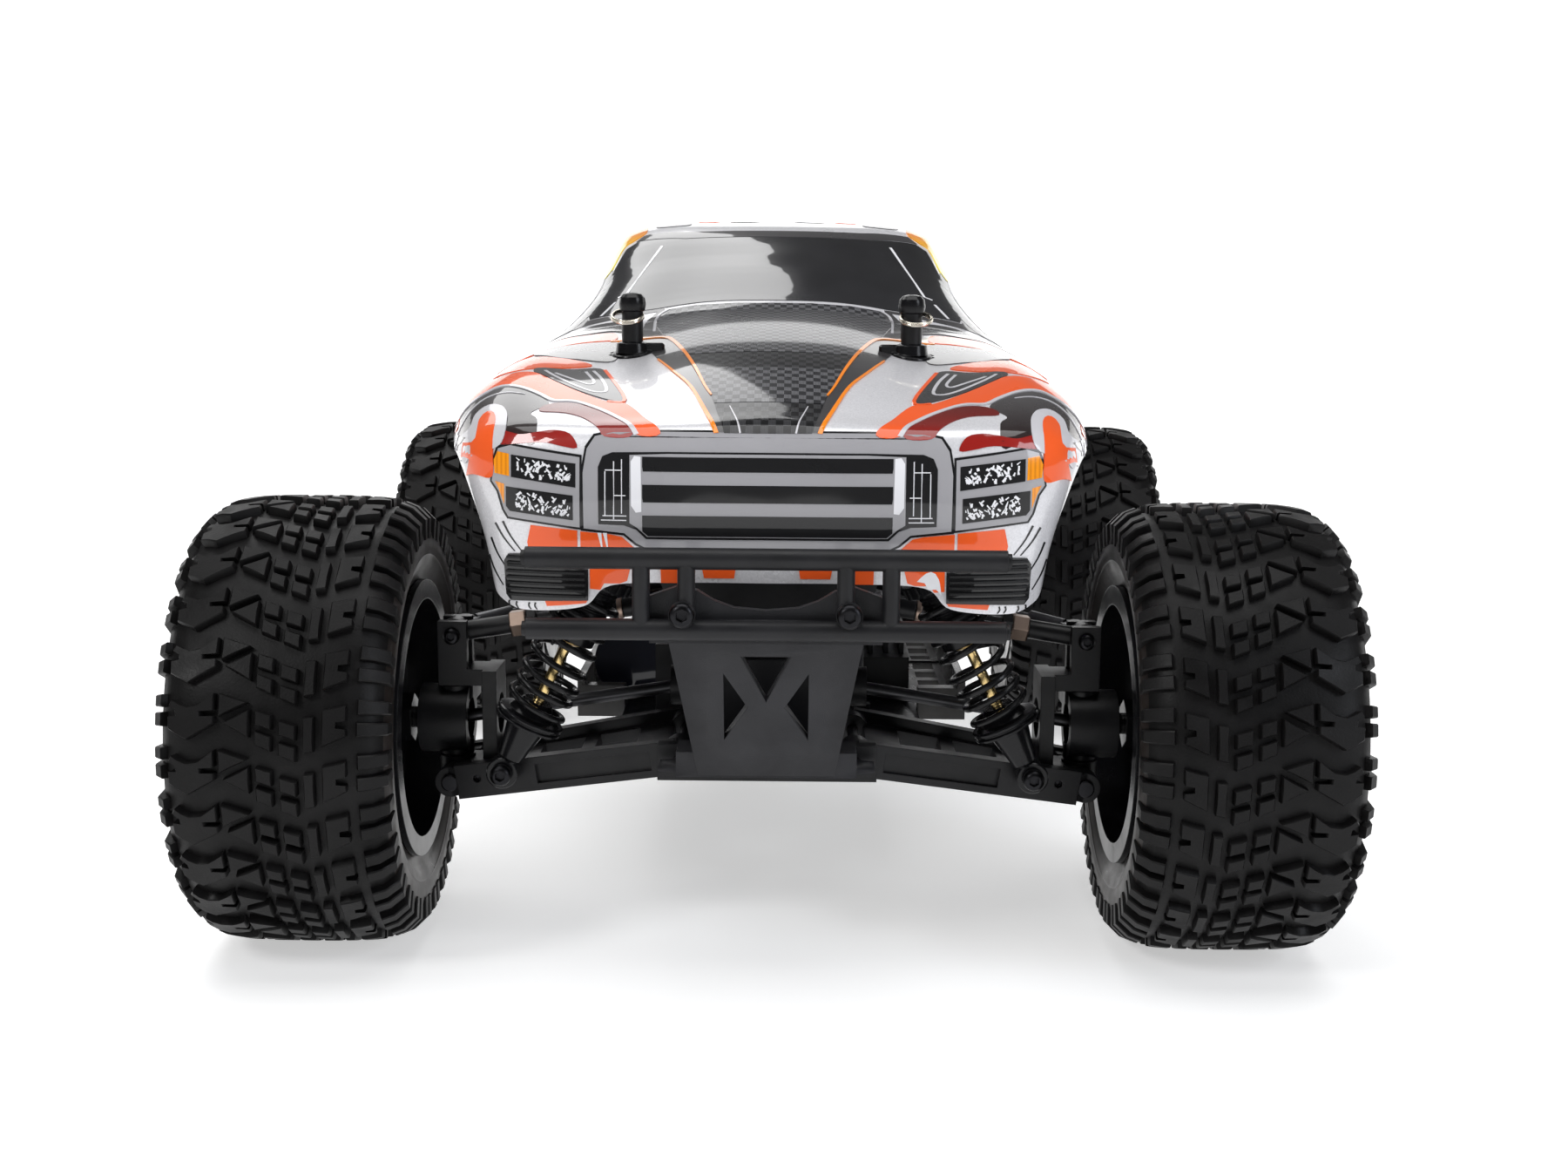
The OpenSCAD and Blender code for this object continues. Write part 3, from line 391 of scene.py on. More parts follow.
# Material name and colour of each paint, and how much metal flake it has
PAINTS = {
    "silver": ("body_silver", (0.74, 0.735, 0.76), 0.2),
    "orange": ("body_orange", (0.9, 0.115, 0.02)),
    "orange_light": ("body_orange_light", (1.0, 0.27, 0.012)),
    "grey_dark": ("body_grey_dark", (0.05, 0.048, 0.05)),
    "grey_trim": ("body_grey_trim", (0.36, 0.355, 0.372)),
    "grey_line": ("body_grey_line", (0.6, 0.59, 0.62)),
    "white": ("body_white", (0.85, 0.85, 0.88)),
    "print_black": ("body_black", (0.01, 0.01, 0.011)),
}
M = {
    "battery_wrap": paint("battery_wrap", (0.012, 0.013, 0.022), 0, 0.3, 0.2),
    "battery_label": faded_paint("battery_label", "Y", -60, 66, [(0.75, 0.4, 0.02), (0.8, 0.1, 0.02)]),
    "strap": moulded("strap", (0.03, 0.03, 0.03), 0.8, 1500, 0.0002, Sheen_Weight=0.4),
    "motor_steel": brushed("motor_steel", (0.58, 0.59, 0.61), 0.28),
    "tyre_rubber": tyre_material(),
    "tyre_sidewall": sidewall_material(),
    "maroon": faded_paint("body_maroon", "Z", 146, 158, [
        (0.33, 0.012, 0.008), (0.16, 0.01, 0.007), (0.05, 0.006, 0.006)]),
    "smoke": faded_paint("body_smoke", "Z", 138, 160, [
        (0.07, 0.006, 0.005), (0.02, 0.012, 0.012), (0.1, 0.098, 0.1)]),
    "sunset": faded_paint("body_sunset", "Z", 187, 203, [
        (0.95, 0.8, 0.01), (0.95, 0.76, 0.01), (0.97, 0.5, 0.015), (1.0, 0.25, 0.02)]),
    "carbon": carbon_weave("carbon_weave"),
    # a lighter copy of the weave: painted reflection of the hood's creases
    "carbon_light": carbon_weave("carbon_weave_painted_reflection", 3.0),
    "window": glass_tint(),
    "amber": lens("lamp_amber", (1.0, 0.3, 0.004)),
    "lamp_red": lens("lamp_red", (0.6, 0.01, 0.008)),
    "lamp_white": lens("lamp_white", (0.9, 0.9, 0.93)),
}
M.update({key: moulded(key, *row) for key, row in MOULDED.items()})
M.update({key: metal(key, *row) for key, row in METALS.items()})
M.update({key: paint(*row) for key, row in PAINTS.items()})

# Finish of each CAD node that doesn't have the finish of its slot
NODE_FINISH = {"side_guards": "guard_smoke", "hinge_pins": "dark_steel",
               "front_bumper_plate": "bumper_sheet", "steering_link": "link_alloy",
               "tie_rod_left": "link_alloy", "tie_rod_right": "link_alloy",
               **{"dogbone_" + corner: "dark_steel" for corner in CORNERS}}
# Edges sharper than this are shaded as edges
SHARP_ANGLE = math.radians(32)
SHELL_ANGLE, PRINT_ANGLE, TYRE_ANGLE = math.radians(50), math.radians(55), math.radians(38)


def dress_cad_nodes():
    """Gives each CAD node the material of its slot. Its mesh stays as it was packed."""
    slots = {part["node"]: part["material_slot"] for part in frame["record"]["subparts"]}
    for name, node in frame["nodes"].items():
        slot = slots[name]
        finish = M[NODE_FINISH.get(name, "silver" if slot == "body_paint" else slot)]
        for holder in node.material_slots:
            holder.material = finish


dress_cad_nodes()

# ------------------------------------------------------------------ mesh making


def rounded_box(x0, y0, x1, y1, r=0.8):
    """The outline of a rectangle with its corners cut off."""
    return [(x0 + r, y0), (x1 - r, y0), (x1, y0 + r), (x1, y1 - r),
            (x1 - r, y1), (x0 + r, y1), (x0, y1 - r), (x0, y0 + r)]


def round_angles(count):
    return [2 * math.pi * k / count for k in range(count)]


class Build:
    """Collects the points and faces of one piece, in millimetres."""

    def __init__(self):
        self.points, self.faces, self.marks = [], [], []

    def add(self, points, faces, mark=0):
        base = len(self.points)
        self.points += [Vector(p) for p in points]
        self.faces += [[base + i for i in face] for face in faces]
        self.marks += [mark] * len(faces)

    def loft(self, rings, caps=True, mark=0):
        """Skins a list of rings that have the same number of points."""
        count = len(rings[0])
        points = [p for ring in rings for p in ring]
        faces = []
        for start in range(0, (len(rings) - 1) * count, count):
            for k in range(count):
                n = (k + 1) % count
                faces.append([start + k, start + n, start + count + n, start + count + k])
        if caps:
            faces.append(list(range(count))[::-1])
            faces.append([(len(rings) - 1) * count + k for k in range(count)])
        self.add(points, faces, mark)

    def lathe(self, profile, at, axis, sides, mark=0):
        """Turns a profile of (along, radius) pairs round an axis through a point."""
        turn = Vector(axis).to_track_quat("Z", "Y").to_matrix()
        rings = [[Vector(at) + turn @ Vector((radius * math.cos(a), radius * math.sin(a), along))
                  for a in round_angles(sides)] for along, radius in profile]
        self.loft(rings, caps=profile[0] != profile[-1], mark=mark)

    def tube(self, path, radius, sides=10):
        """A round tube along a path."""
        rings, side = [], None
        for i, point in enumerate(path):
            ahead = Vector(path[min(i + 1, len(path) - 1)]) - Vector(path[max(i - 1, 0)])
            ahead.normalize()
            if side is None:
                side = ahead.orthogonal().normalized()
            side = (side - ahead * side.dot(ahead)).normalized()
            up = ahead.cross(side)
            rings.append([Vector(point) + radius * (side * math.cos(a) + up * math.sin(a))
                          for a in round_angles(sides)])
        self.loft(rings)

    def box(self, low, high, round_by):
        """A box with chamfered edges."""
        low, high = Vector(low), Vector(high)
        r = min(round_by, *((high - low) / 3))
        rings = []
        for z, inset in ((low.z, r), (low.z + r, 0), (high.z - r, 0), (high.z, r)):
            x0, x1, y0, y1 = low.x + inset, high.x - inset, low.y + inset, high.y - inset
            rings.append([Vector((x, y, z)) for x, y in rounded_box(x0, y0, x1, y1, r)])
        self.loft(rings)

    def screw(self, at, axis, radius):
        """A button-head screw with a hexagon socket. Its head stands on the point, along the axis."""
        turn = Vector(axis).to_track_quat("Z", "Y").to_matrix()
        hexagon = radius * 0.42

        def ring(height, size, six=False):
            made = []
            for a in round_angles(24):
                r = size / math.cos((a + math.pi / 6) % (math.pi / 3) - math.pi / 6) if six else size
                made.append(Vector(at) + turn @ Vector((r * math.cos(a), r * math.sin(a), height)))
            return made

        self.loft([ring(-0.2, radius), ring(0.1 * radius, radius), ring(0.34 * radius, 0.93 * radius),
                   ring(0.5 * radius, 0.75 * radius), ring(0.56 * radius, 0.58 * radius),
                   ring(0.56 * radius, hexagon, True), ring(0.12 * radius, hexagon * 0.96, True)])

    def make(self, name, body, materials, slot=None, flip=(1, 1), smooth=True, angle=SHARP_ANGLE):
        """Turns the points into an object that rides on a body. flip mirrors it to another corner."""
        mesh = bpy.data.meshes.new(name)
        sx, sy = flip
        points = [(p.x * sx * MM, p.y * sy * MM, p.z * MM) for p in self.points]
        faces = self.faces if sx * sy > 0 else [face[::-1] for face in self.faces]
        mesh.from_pydata(points, [], faces)
        for material in materials if isinstance(materials, list) else [materials]:
            mesh.materials.append(M[material])
        mesh.polygons.foreach_set("material_index", self.marks)
        work = bmesh.new()
        work.from_mesh(mesh)
        bmesh.ops.recalc_face_normals(work, faces=work.faces)
        work.to_mesh(mesh)
        work.free()
        if smooth:
            mesh.shade_smooth()
            mesh.set_sharp_from_angle(angle=angle)
        piece = placed(name, mesh)
        if body:
            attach(piece, body)
        return piece


# ------------------------------------------------------------------ driving dimensions, as in the CAD

AXLE_Y, AXLE_Z, WHEEL_X = -140.0, 62.5, 125.0
INNER_X, OUTER_X, LINK_DROP = 24.0, 88.0, 10.0
LOWER_OUT_Z, UPPER_OUT_Z, DIFF_Z = AXLE_Z - 15.5, AXLE_Z + 24.5, AXLE_Z + LINK_DROP
LOWER_IN_Z, UPPER_IN_Z = LOWER_OUT_Z + LINK_DROP, UPPER_OUT_Z + LINK_DROP
RIDE_H, DECK_Z = 49.0, 52.0
SHOCK_TOP = Vector((INNER_X + 15, AXLE_Y - 21, DIFF_Z + 45.5))
SHOCK_FOOT = Vector((INNER_X + 48, AXLE_Y - 21, LOWER_IN_Z - 4.5))
SHOCK_DIR = (SHOCK_FOOT - SHOCK_TOP).normalized()
SHOCK_LEN = (SHOCK_FOOT - SHOCK_TOP).length
SPRING_FROM, SPRING_TO = 15.5, 54.6
POST = Vector((39.0, -128.0, 179.5))

# ------------------------------------------------------------------ body shell

BODY_RIBS = [
    # front lip
    [[0, -186, 109], [22, -186, 109], [40, -185.5, 108], [47, -185, 102.5],
     [62, -182, 101], [69, -178, 103.5], [71.5, -174, 107], [72, -171, 110]],
    # under the grille
    [[0, -189, 118.5], [24, -189, 118.5], [42, -188, 118], [56, -186, 117.5],
     [66, -183, 117], [71, -179, 117], [73, -175, 117], [73.5, -171, 117]],
    # middle of the grille and lamps
    [[0, -189.5, 132], [22, -189.5, 132], [41, -188.5, 132], [56, -186, 132],
     [67, -183, 132], [73, -179, 132], [76.5, -174, 131], [78, -169, 130]],
    # front edge of the hood
    [[0, -187.5, 146.5], [22, -187.5, 146.5], [41, -186, 146], [56, -184, 145.5],
     [68, -181, 144.5], [76, -176, 143], [80.5, -169, 141], [82, -162, 137.5]],
    [[0, -178, 152.5], [22, -178, 151.5], [40, -178, 150.5], [56, -177, 150.5],
     [69, -174, 150], [78, -168, 147.5], [82.5, -161, 144], [84.5, -154, 139.5]],
    [[0, -160, 159.5], [22, -160, 158.5], [40, -160, 156.5], [56, -160, 156.5],
     [69, -158, 157.5], [79, -155, 153.5], [84, -151, 147], [86, -147, 140.5]],
    # over the front axle
    [[0, -140, 165.5], [21, -140, 164.5], [40, -140, 162], [56, -140, 161.5],
     [68, -139, 162], [78, -138, 156.5], [84.5, -136, 148.5], [86.5, -134, 140.5]],
    [[0, -115, 170.5], [21, -115, 169.5], [40, -115, 166.5], [56, -114, 165.5],
     [67, -113, 164.5], [78, -112, 158.5], [84.5, -111, 149], [86.5, -110, 138.5]],
    # cowl
    [[0, -85, 175.5], [21, -85, 174.5], [40, -83, 171.5], [54, -80, 169.5],
     [64, -78, 167.5], [76, -80, 160.5], [82, -82, 146], [84, -86, 124]],
    # foot of the windshield
    [[0, -74, 177.5], [21, -73.5, 176.8], [40, -71, 173.5], [54, -67, 171],
     [63, -62, 169], [74.5, -62, 161.5], [80, -63, 140], [81, -70, 100]],
    [[0, -45, 191.5], [19, -44.5, 191], [36, -43, 189.3], [49.5, -40, 185.5],
     [57.5, -36, 180.5], [72.5, -36, 161], [79, -38, 135], [79, -42, 93]],
    # front edge of the roof
    [[0, -16, 203.2], [18, -16, 203], [35, -15, 202.4], [47, -12.5, 200.2],
     [54, -10, 194.5], [71.5, -10, 161.5], [78, -10, 135], [78, -12, 92]],
    [[0, 18, 205], [18, 18, 204.8], [35, 18, 204.2], [48, 18, 202],
     [55, 18, 194.5], [71.5, 18, 161.5], [78, 18, 135], [78, 18, 92]],
    # rear edge of the roof
    [[0, 47, 203], [18, 47, 202.8], [35, 47, 202], [47, 46, 199.5],
     [54, 45, 192.5], [71.5, 45, 161.5], [78, 45, 135], [78, 46, 92]],
    # foot of the rear window
    [[0, 65, 176], [20, 65, 176], [38, 65, 175.5], [51, 64, 174],
     [61, 62, 169.5], [73.5, 62, 161.5], [80, 64, 140], [81, 70, 99]],
    [[0, 84, 167], [21, 84, 167], [40, 84, 167.3], [55, 84, 168.2],
     [66, 83, 167.5], [76.5, 82, 160.5], [82, 82, 146], [84, 87, 124]],
    [[0, 112, 165], [21, 112, 165], [40, 112, 165.3], [56, 112, 166.3],
     [68, 112, 165.5], [78.5, 111, 159], [84.5, 111, 149], [86.5, 110, 138.5]],
    # over the rear axle
    [[0, 140, 164], [21, 140, 164], [40, 140, 164.3], [56, 140, 165.3],
     [68, 139, 164.5], [78.5, 138, 158], [84.5, 136, 148.5], [86.5, 135, 140.5]],
    [[0, 165, 162], [21, 165, 162], [40, 165, 162.3], [56, 164, 163.3],
     [68, 162, 162.5], [77, 160, 156], [83, 157, 147], [85, 153, 140]],
    # tail
    [[0, 184, 157.5], [21, 184, 157.5], [40, 183.5, 157.5], [55, 182, 157.5],
     [66, 179, 156.5], [74.5, 174, 152], [80, 168, 144], [82.5, 162, 137]],
    [[0, 189.5, 138], [21, 189.5, 138], [40, 189, 138], [55, 187.5, 138],
     [66, 184.5, 137.5], [73, 180, 136], [77, 175, 133], [79, 170, 129]],
    [[0, 187, 112], [21, 187, 112], [40, 186.5, 112], [54, 185.5, 112],
     [64, 183, 112], [70, 179.5, 112], [73, 176, 112.5], [74.5, 172, 113]]]
SHELL_T = 1.2
SHELL_STEPS = 7        # mesh steps between two ribs, and between two of a rib's points
HOLE_R = 3.6


def curve_point(a, b, c, d, t):
    """Catmull-Rom curve from b to c."""
    square, cube = 2 * a - 5 * b + 4 * c - d, 3 * b - a - 3 * c + d
    return 0.5 * (2 * b + (c - a) * t + square * t * t + cube * t ** 3)


def refined(p, steps):
    """An open curve through the points, with that many steps between two of them."""
    last = len(p) - 1
    made = [curve_point(p[max(i - 1, 0)], p[i], p[i + 1], p[min(i + 2, last)], k / steps)
            for i in range(last) for k in range(steps)]
    return made + [p[last]]


def shell_grid():
    """Rows of points of the outer skin, from nose to tail, each from the right edge to the left one."""
    rows = []
    for rib in BODY_RIBS:
        left = [Vector(p) for p in rib]
        whole = [Vector((-p.x, p.y, p.z)) for p in left[:0:-1]] + left
        rows.append(refined(whole, SHELL_STEPS))
    columns = [refined([row[j] for row in rows], SHELL_STEPS) for j in range(len(rows[0]))]
    return [list(row) for row in zip(*columns)]


def grid_faces(rows, cols):
    return [(i * cols + j, i * cols + j + 1, (i + 1) * cols + j + 1, (i + 1) * cols + j)
            for i in range(rows - 1) for j in range(cols - 1)]


GRID = shell_grid()
SKIN = BVHTree.FromPolygons([p for row in GRID for p in row], grid_faces(len(GRID), len(GRID[0])))


def make_shell():
    rows, cols = len(GRID), len(GRID[0])
    inner = []
    for i in range(rows):
        for j in range(cols):
            along = GRID[min(i + 1, rows - 1)][j] - GRID[max(i - 1, 0)][j]
            across = GRID[i][min(j + 1, cols - 1)] - GRID[i][max(j - 1, 0)]
            inner.append(GRID[i][j] + SHELL_T * along.cross(across).normalized())
    count = rows * cols
    faces = [list(f) for f in grid_faces(rows, cols)]
    faces += [[v + count for v in f[::-1]] for f in grid_faces(rows, cols)]
    # the rim, along the front, the left side, the back and the right side
    rim = list(range(cols - 1)) + [i * cols + cols - 1 for i in range(rows)]
    rim += [count - 2 - j for j in range(cols - 1)] + [i * cols for i in range(rows - 2, 0, -1)]
    faces += [[b, a, a + count, b + count] for a, b in zip(rim, rim[1:] + rim[:1])]
    made = Build()
    made.add([p for row in GRID for p in row] + inner, faces)
    shell = made.make("body_skin", None, "silver", smooth=False)

    cutter = Build()
    for sx, sy in SIGNS:
        cutter.lathe([(0, HOLE_R), (40, HOLE_R)], (POST.x * sx, POST.y * sy, 150), (0, 0, 1), 40)
    holes = cutter.make("post_holes", None, "silver", smooth=False)
    cut = shell.modifiers.new("holes", "BOOLEAN")
    cut.operation, cut.object, cut.solver = "DIFFERENCE", holes, "MANIFOLD"
    bpy.context.view_layer.update()
    ready = shell.evaluated_get(bpy.context.evaluated_depsgraph_get())
    mesh = bpy.data.meshes.new_from_object(ready)
    shell.modifiers.clear()
    shell.data = mesh
    bpy.data.objects.remove(holes)
    mesh.shade_smooth()
    mesh.set_sharp_from_angle(angle=SHELL_ANGLE)
    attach(shell, "chassis")
    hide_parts("body_shell")


make_shell()

# ------------------------------------------------------------------ printed areas on the shell

# Each view sends a ray from an outline's point to the skin: nose and tail outlines are in X and Z,
# hood outlines in X and Y + Z, rear outlines in X and Z - Y, side ones in Y and Z, roof ones in X and Y.
FAR = 300.0
VIEWS = {
    "nose": (Vector((0, 1, 0)), lambda a, b: Vector((a, -FAR, b))),
    "tail": (Vector((0, -1, 0)), lambda a, b: Vector((a, FAR, b))),
    "hood": (Vector((0, 1, -1)), lambda a, b: Vector((a, b / 2 - FAR, b / 2 + FAR))),
    "rear": (Vector((0, -1, -1)), lambda a, b: Vector((a, FAR - b / 2, FAR + b / 2))),
    "side": (Vector((-1, 0, 0)), lambda a, b: Vector((FAR, a, b))),
    "roof": (Vector((0, 0, -1)), lambda a, b: Vector((a, b, FAR))),
}
LIFT = 0.09            # how far each printed layer stands over the one below
PRINT_T = 0.04         # how far the lowest layer stands over the skin
PRINT_DEPTH = 0.25     # how far a printed area reaches into the skin
# Distance between the points of a printed area, of a curved outline and of a straight one
MESH_STEP, CURVE_STEP, STRAIGHT_STEP = 2.0, 1.4, 1.8
PRINT_GAP = 18.0       # a face with a longer edge than this spans a gap in the skin
POST_CLEAR = 4.6       # radius round each post without prints


def smooth_outline(points):
    """A closed curve through the points."""
    pts = [Vector(p) for p in points]
    n = len(pts)
    made = []
    for i in range(n):
        a, b, c, d = pts[i - 1], pts[i], pts[(i + 1) % n], pts[(i + 2) % n]
        steps = max(1, round((c - b).length / CURVE_STEP))
        made += [curve_point(a, b, c, d, k / steps) for k in range(steps)]
    return made


def straight_outline(points, step=STRAIGHT_STEP):
    """A closed outline through the points, with more of them on its straight sides."""
    pts = [Vector(p) for p in points]
    made = []
    for i, b in enumerate(pts):
        c = pts[(i + 1) % len(pts)]
        steps = max(1, math.ceil((c - b).length / step))
        made += [b.lerp(c, k / steps) for k in range(steps)]
    return made


def stroke(points, width, smooth, taper):
    """The outline of a line of that width. Its far end is taper times as wide."""
    pts = [Vector(p) for p in points]
    if smooth and len(pts) > 2:
        pts = refined(pts, 5)
    left, right = [], []
    for i, p in enumerate(pts):
        ahead = (pts[min(i + 1, len(pts) - 1)] - pts[max(i - 1, 0)]).normalized()
        half = 0.5 * width * (1 + (taper - 1) * i / (len(pts) - 1))
        out = Vector((-ahead.y, ahead.x)) * half
        left.append(p + out)
        right.append(p - out)
    return left + right[::-1]


def inside(point, outline):
    """Whether a point is inside an outline."""
    x, y = point
    crossed = False
    for i, a in enumerate(outline):
        b = outline[i - 1]
        if (a.y > y) != (b.y > y) and x < (b.x - a.x) * (y - a.y) / (b.y - a.y) + a.x:
            crossed = not crossed
    return crossed


def fill_points(outline):
    """Points on a triangular grid inside an outline, clear of its edge."""
    step = MESH_STEP
    xs, ys = [p.x for p in outline], [p.y for p in outline]
    made = []
    y, odd = min(ys) + step / 2, False
    while y < max(ys):
        x = min(xs) + (step / 2 if odd else 0)
        while x < max(xs):
            clear = all((x - p.x) ** 2 + (y - p.y) ** 2 > (0.55 * step) ** 2 for p in outline)
            if clear and inside((x, y), outline):
                made.append(Vector((x, y)))
            x += step
        y, odd = y + step * 0.866, not odd
    return made


class Prints:
    """Printed areas of one colour, as thin sheets that follow the skin."""

    def __init__(self):
        self.build = Build()

    def area(self, view, outline, layer, **options):
        """An area with a curved outline, on both sides of the truck."""
        self.sheet(view, smooth_outline(outline), layer, **options)

    def cut(self, view, outline, layer, **options):
        """An area with a straight-edged outline."""
        self.sheet(view, straight_outline(outline), layer, **options)

    def middle(self, view, half, layer):
        """A straight-edged area across the centreline, from the left half of its outline."""
        self.cut(view, both(half), layer, sides=(1,))

    def line(self, view, points, width, layer, smooth=True, taper=1.0, **options):
        self.sheet(view, stroke(points, width, smooth, taper), layer, **options)

    def sheet(self, view, outline, layer, sides=(1, -1), thick=0.0):
        """Drapes an outline over the skin, seen from one view, as a closed thin sheet."""
        direction, start = VIEWS[view]
        direction = direction.normalized()
        flat = outline + fill_points(outline)
        cut = delaunay_2d_cdt(flat, [], [list(range(len(outline)))], 1, 1e-5)
        seats = [SKIN.ray_cast(start(p.x, p.y), direction) for p in cut[0]]
        faces = [f for f in cut[2] if all(seats[v][0] is not None for v in f)]
        faces = [f for f in faces if not any(near_post(seats[v][0]) for v in f)]
        faces = [f for f in faces if longest_edge([seats[v][0] for v in f]) < PRINT_GAP]
        used = sorted({v for f in faces for v in f})
        place = {v: i for i, v in enumerate(used)}
        count = len(used)
        if not count:
            return
        top, bottom = [], []
        for v in used:
            point, normal = seats[v][0], seats[v][1]
            normal = normal if normal.dot(direction) < 0 else -normal
            top.append(point + normal * (LIFT * layer + PRINT_T + thick))
            bottom.append(point - normal * PRINT_DEPTH)
        upper = [[place[v] for v in f] for f in faces]
        edges = dict.fromkeys((a, b) for f in upper for a, b in zip(f, f[1:] + f[:1]))
        walls = [[b, a, a + count, b + count] for a, b in edges if (b, a) not in edges]
        lower = [[v + count for v in f[::-1]] for f in upper]
        for side in sides:
            points = [Vector((p.x * side, p.y, p.z)) for p in top + bottom]
            faces_here = upper + lower + walls
            self.build.add(points, faces_here if side > 0 else [f[::-1] for f in faces_here])

    def make(self, name, material):
        return self.build.make(name, "chassis", material, "body_paint", angle=PRINT_ANGLE)


def near_post(point):
    """Whether a point of the skin is at one of the body posts."""
    return math.hypot(abs(point.x) - POST.x, abs(point.y) - abs(POST.y)) < POST_CLEAR


def longest_edge(points):
    return max((points[i] - points[i - 1]).length for i in range(len(points)))


def both(points):
    """An outline mirrored about the centreline, from its half on the left side."""
    return list(points) + [(-x, y) for x, y in reversed(points) if x]


FLAME_TOP = [
    (27, -40), (31, -31), (37, -18), (42, -16), (51, -6), (60, 6), (64, 10), (70, 9), (77, 7), (83, 2)]
FLAME_FOOT = [
    (86, -4), (82, -7), (76, -4), (71, -2), (65, -5), (60, -10), (56, -15), (50, -16), (42, -24),
    (36, -33), (33, -40)]


def print_hood(p):
    orange, light, dark, lines, painted_reflection_carbon = p["orange"], p["light"], p["dark"], p["lines"], p["carbon_light"]
    p["smoke"].area("hood", [
        (57, -17), (62, -8), (68, -4), (73, -3), (79, -6), (86, -3), (86, -10), (84, -18), (80, -27),
        (76, -25), (75, -16), (71, -15), (68, -21), (68, -34), (63, -38), (59, -40), (59, -29),
        (61, -24)], 1)
    p["maroon"].area("hood", [
        (34, -40), (38, -30), (44, -22), (51, -17), (57, -18), (59, -23), (52, -25), (47, -29), (43, -36),
        (41, -40)], 2)
    p["maroon"].area("hood", [
        (48, -43), (50, -38), (54, -36), (58, -36), (63, -36), (68, -33), (68, -38), (57, -40),
        (52, -42)], 2)
    orange.area("hood", FLAME_TOP + FLAME_FOOT, 3)
    lines.line("hood", FLAME_FOOT[::-1], 1.3, 4)
    lines.line("hood", [
        (86, -13), (82, -17), (78, -11), (74, -8), (69, -8), (64, -10)], 0.9, 3, taper=0.3)
    dark.area("hood", [
        (45, 15), (54, 16), (62, 16), (64, 12), (60, 7), (51, -5), (42, -14), (38, -16), (37.5, -14)], 3)
    lines.line("hood", [(48, 14), (45, 5), (43, -6), (46, -7), (51, -2), (58, 8), (61, 13)], 0.9, 4)
    lines.line("hood", [(50, 13), (47, 3), (48, 0), (52, 4), (58, 11)], 0.8, 4)
    orange.line("hood", [(45, 15), (37.5, -14), (42, -15.5)], 1.0, 4)
    orange.area("hood", [
        (55, 29), (61, 32), (67, 31), (73, 26), (76, 16), (70, 12), (65, 14), (60, 17), (55, 18),
        (49, 21)], 3)
    dark.area("hood", [(44, 26), (43, 42), (45, 57), (55, 58), (63, 51), (67, 38), (61, 33), (54, 30)], 3)
    orange.area("hood", [
        (46, 62), (52, 61), (58, 58), (64, 48), (69, 36), (76, 30), (78, 38), (73, 52), (68, 66),
        (62, 75), (54, 78), (47, 75)], 3)
    dark.area("hood", [
        (42, 76), (50, 82), (60, 79), (68, 72), (74, 62), (76, 72), (70, 84), (62, 97), (56, 104),
        (44, 98)], 3)
    # light hook round the orange one, over the lamps
    lines.area("hood", [
        (67, -26), (69, -18), (73, -14.5), (76.5, -17), (77.5, -24), (80, -24), (84, -12), (86, -5),
        (86.3, -14), (80, -31), (77, -36), (68, -38)], 4)
    orange.area("hood", [
        (70, -27), (71, -21), (73, -19), (74.8, -22), (75, -32), (77.5, -31), (81, -25), (84, -17),
        (86.3, -12), (84, -24), (79, -36), (74, -43), (70, -46), (70, -38)], 5)
    # centre panel with its dark edges and orange borders; the lighter carbon bands over it are painted
    # reflection of the hood's creases
    p["edge"].middle("hood", [
        (13, -40), (17, -22), (21, -5), (26, 9), (31, 24), (36, 45), (38, 62), (39, 80), (39, 98),
        (36, 106)], 2)
    p["carbon"].middle("hood", [
        (11, -40), (13, -28), (15, -14), (18, 0), (22, 18), (25, 34), (28, 48)], 3)
    # painted reflection: lighter carbon bands where the hood's creases would mirror the light
    painted_reflection_carbon.middle("hood", [(14, -20.5), (15, -14), (18, 0), (20, 9.5)], 4)
    painted_reflection_carbon.middle("hood", [(24, 26), (25, 34), (28, 48), (32, 62), (35, 80), (35, 97), (32, 105)], 4)
    light.line("hood", [(13, -40), (17, -22), (21, -5), (26, 9), (31, 24)], 1.2, 4, taper=0.4)
    light.line("hood", [
        (47, 59), (37, 59), (31, 56), (28, 48), (24, 30), (20, 10), (17, -6), (15, -14)], 1.7, 5,
        taper=0.3)
    lines.line("hood", [(7, -40), (8, -33), (10, -23)], 0.5, 4, taper=0.5)
    lines.line("hood", [(35, 70), (36, 98), (33, 105.5)], 0.8, 4)
    for x in (0, 12, 24):
        lines.line("hood", [(x, 105.6 + x * 0.01), (x + 10, 105.6)], 0.7, 4, smooth=False)


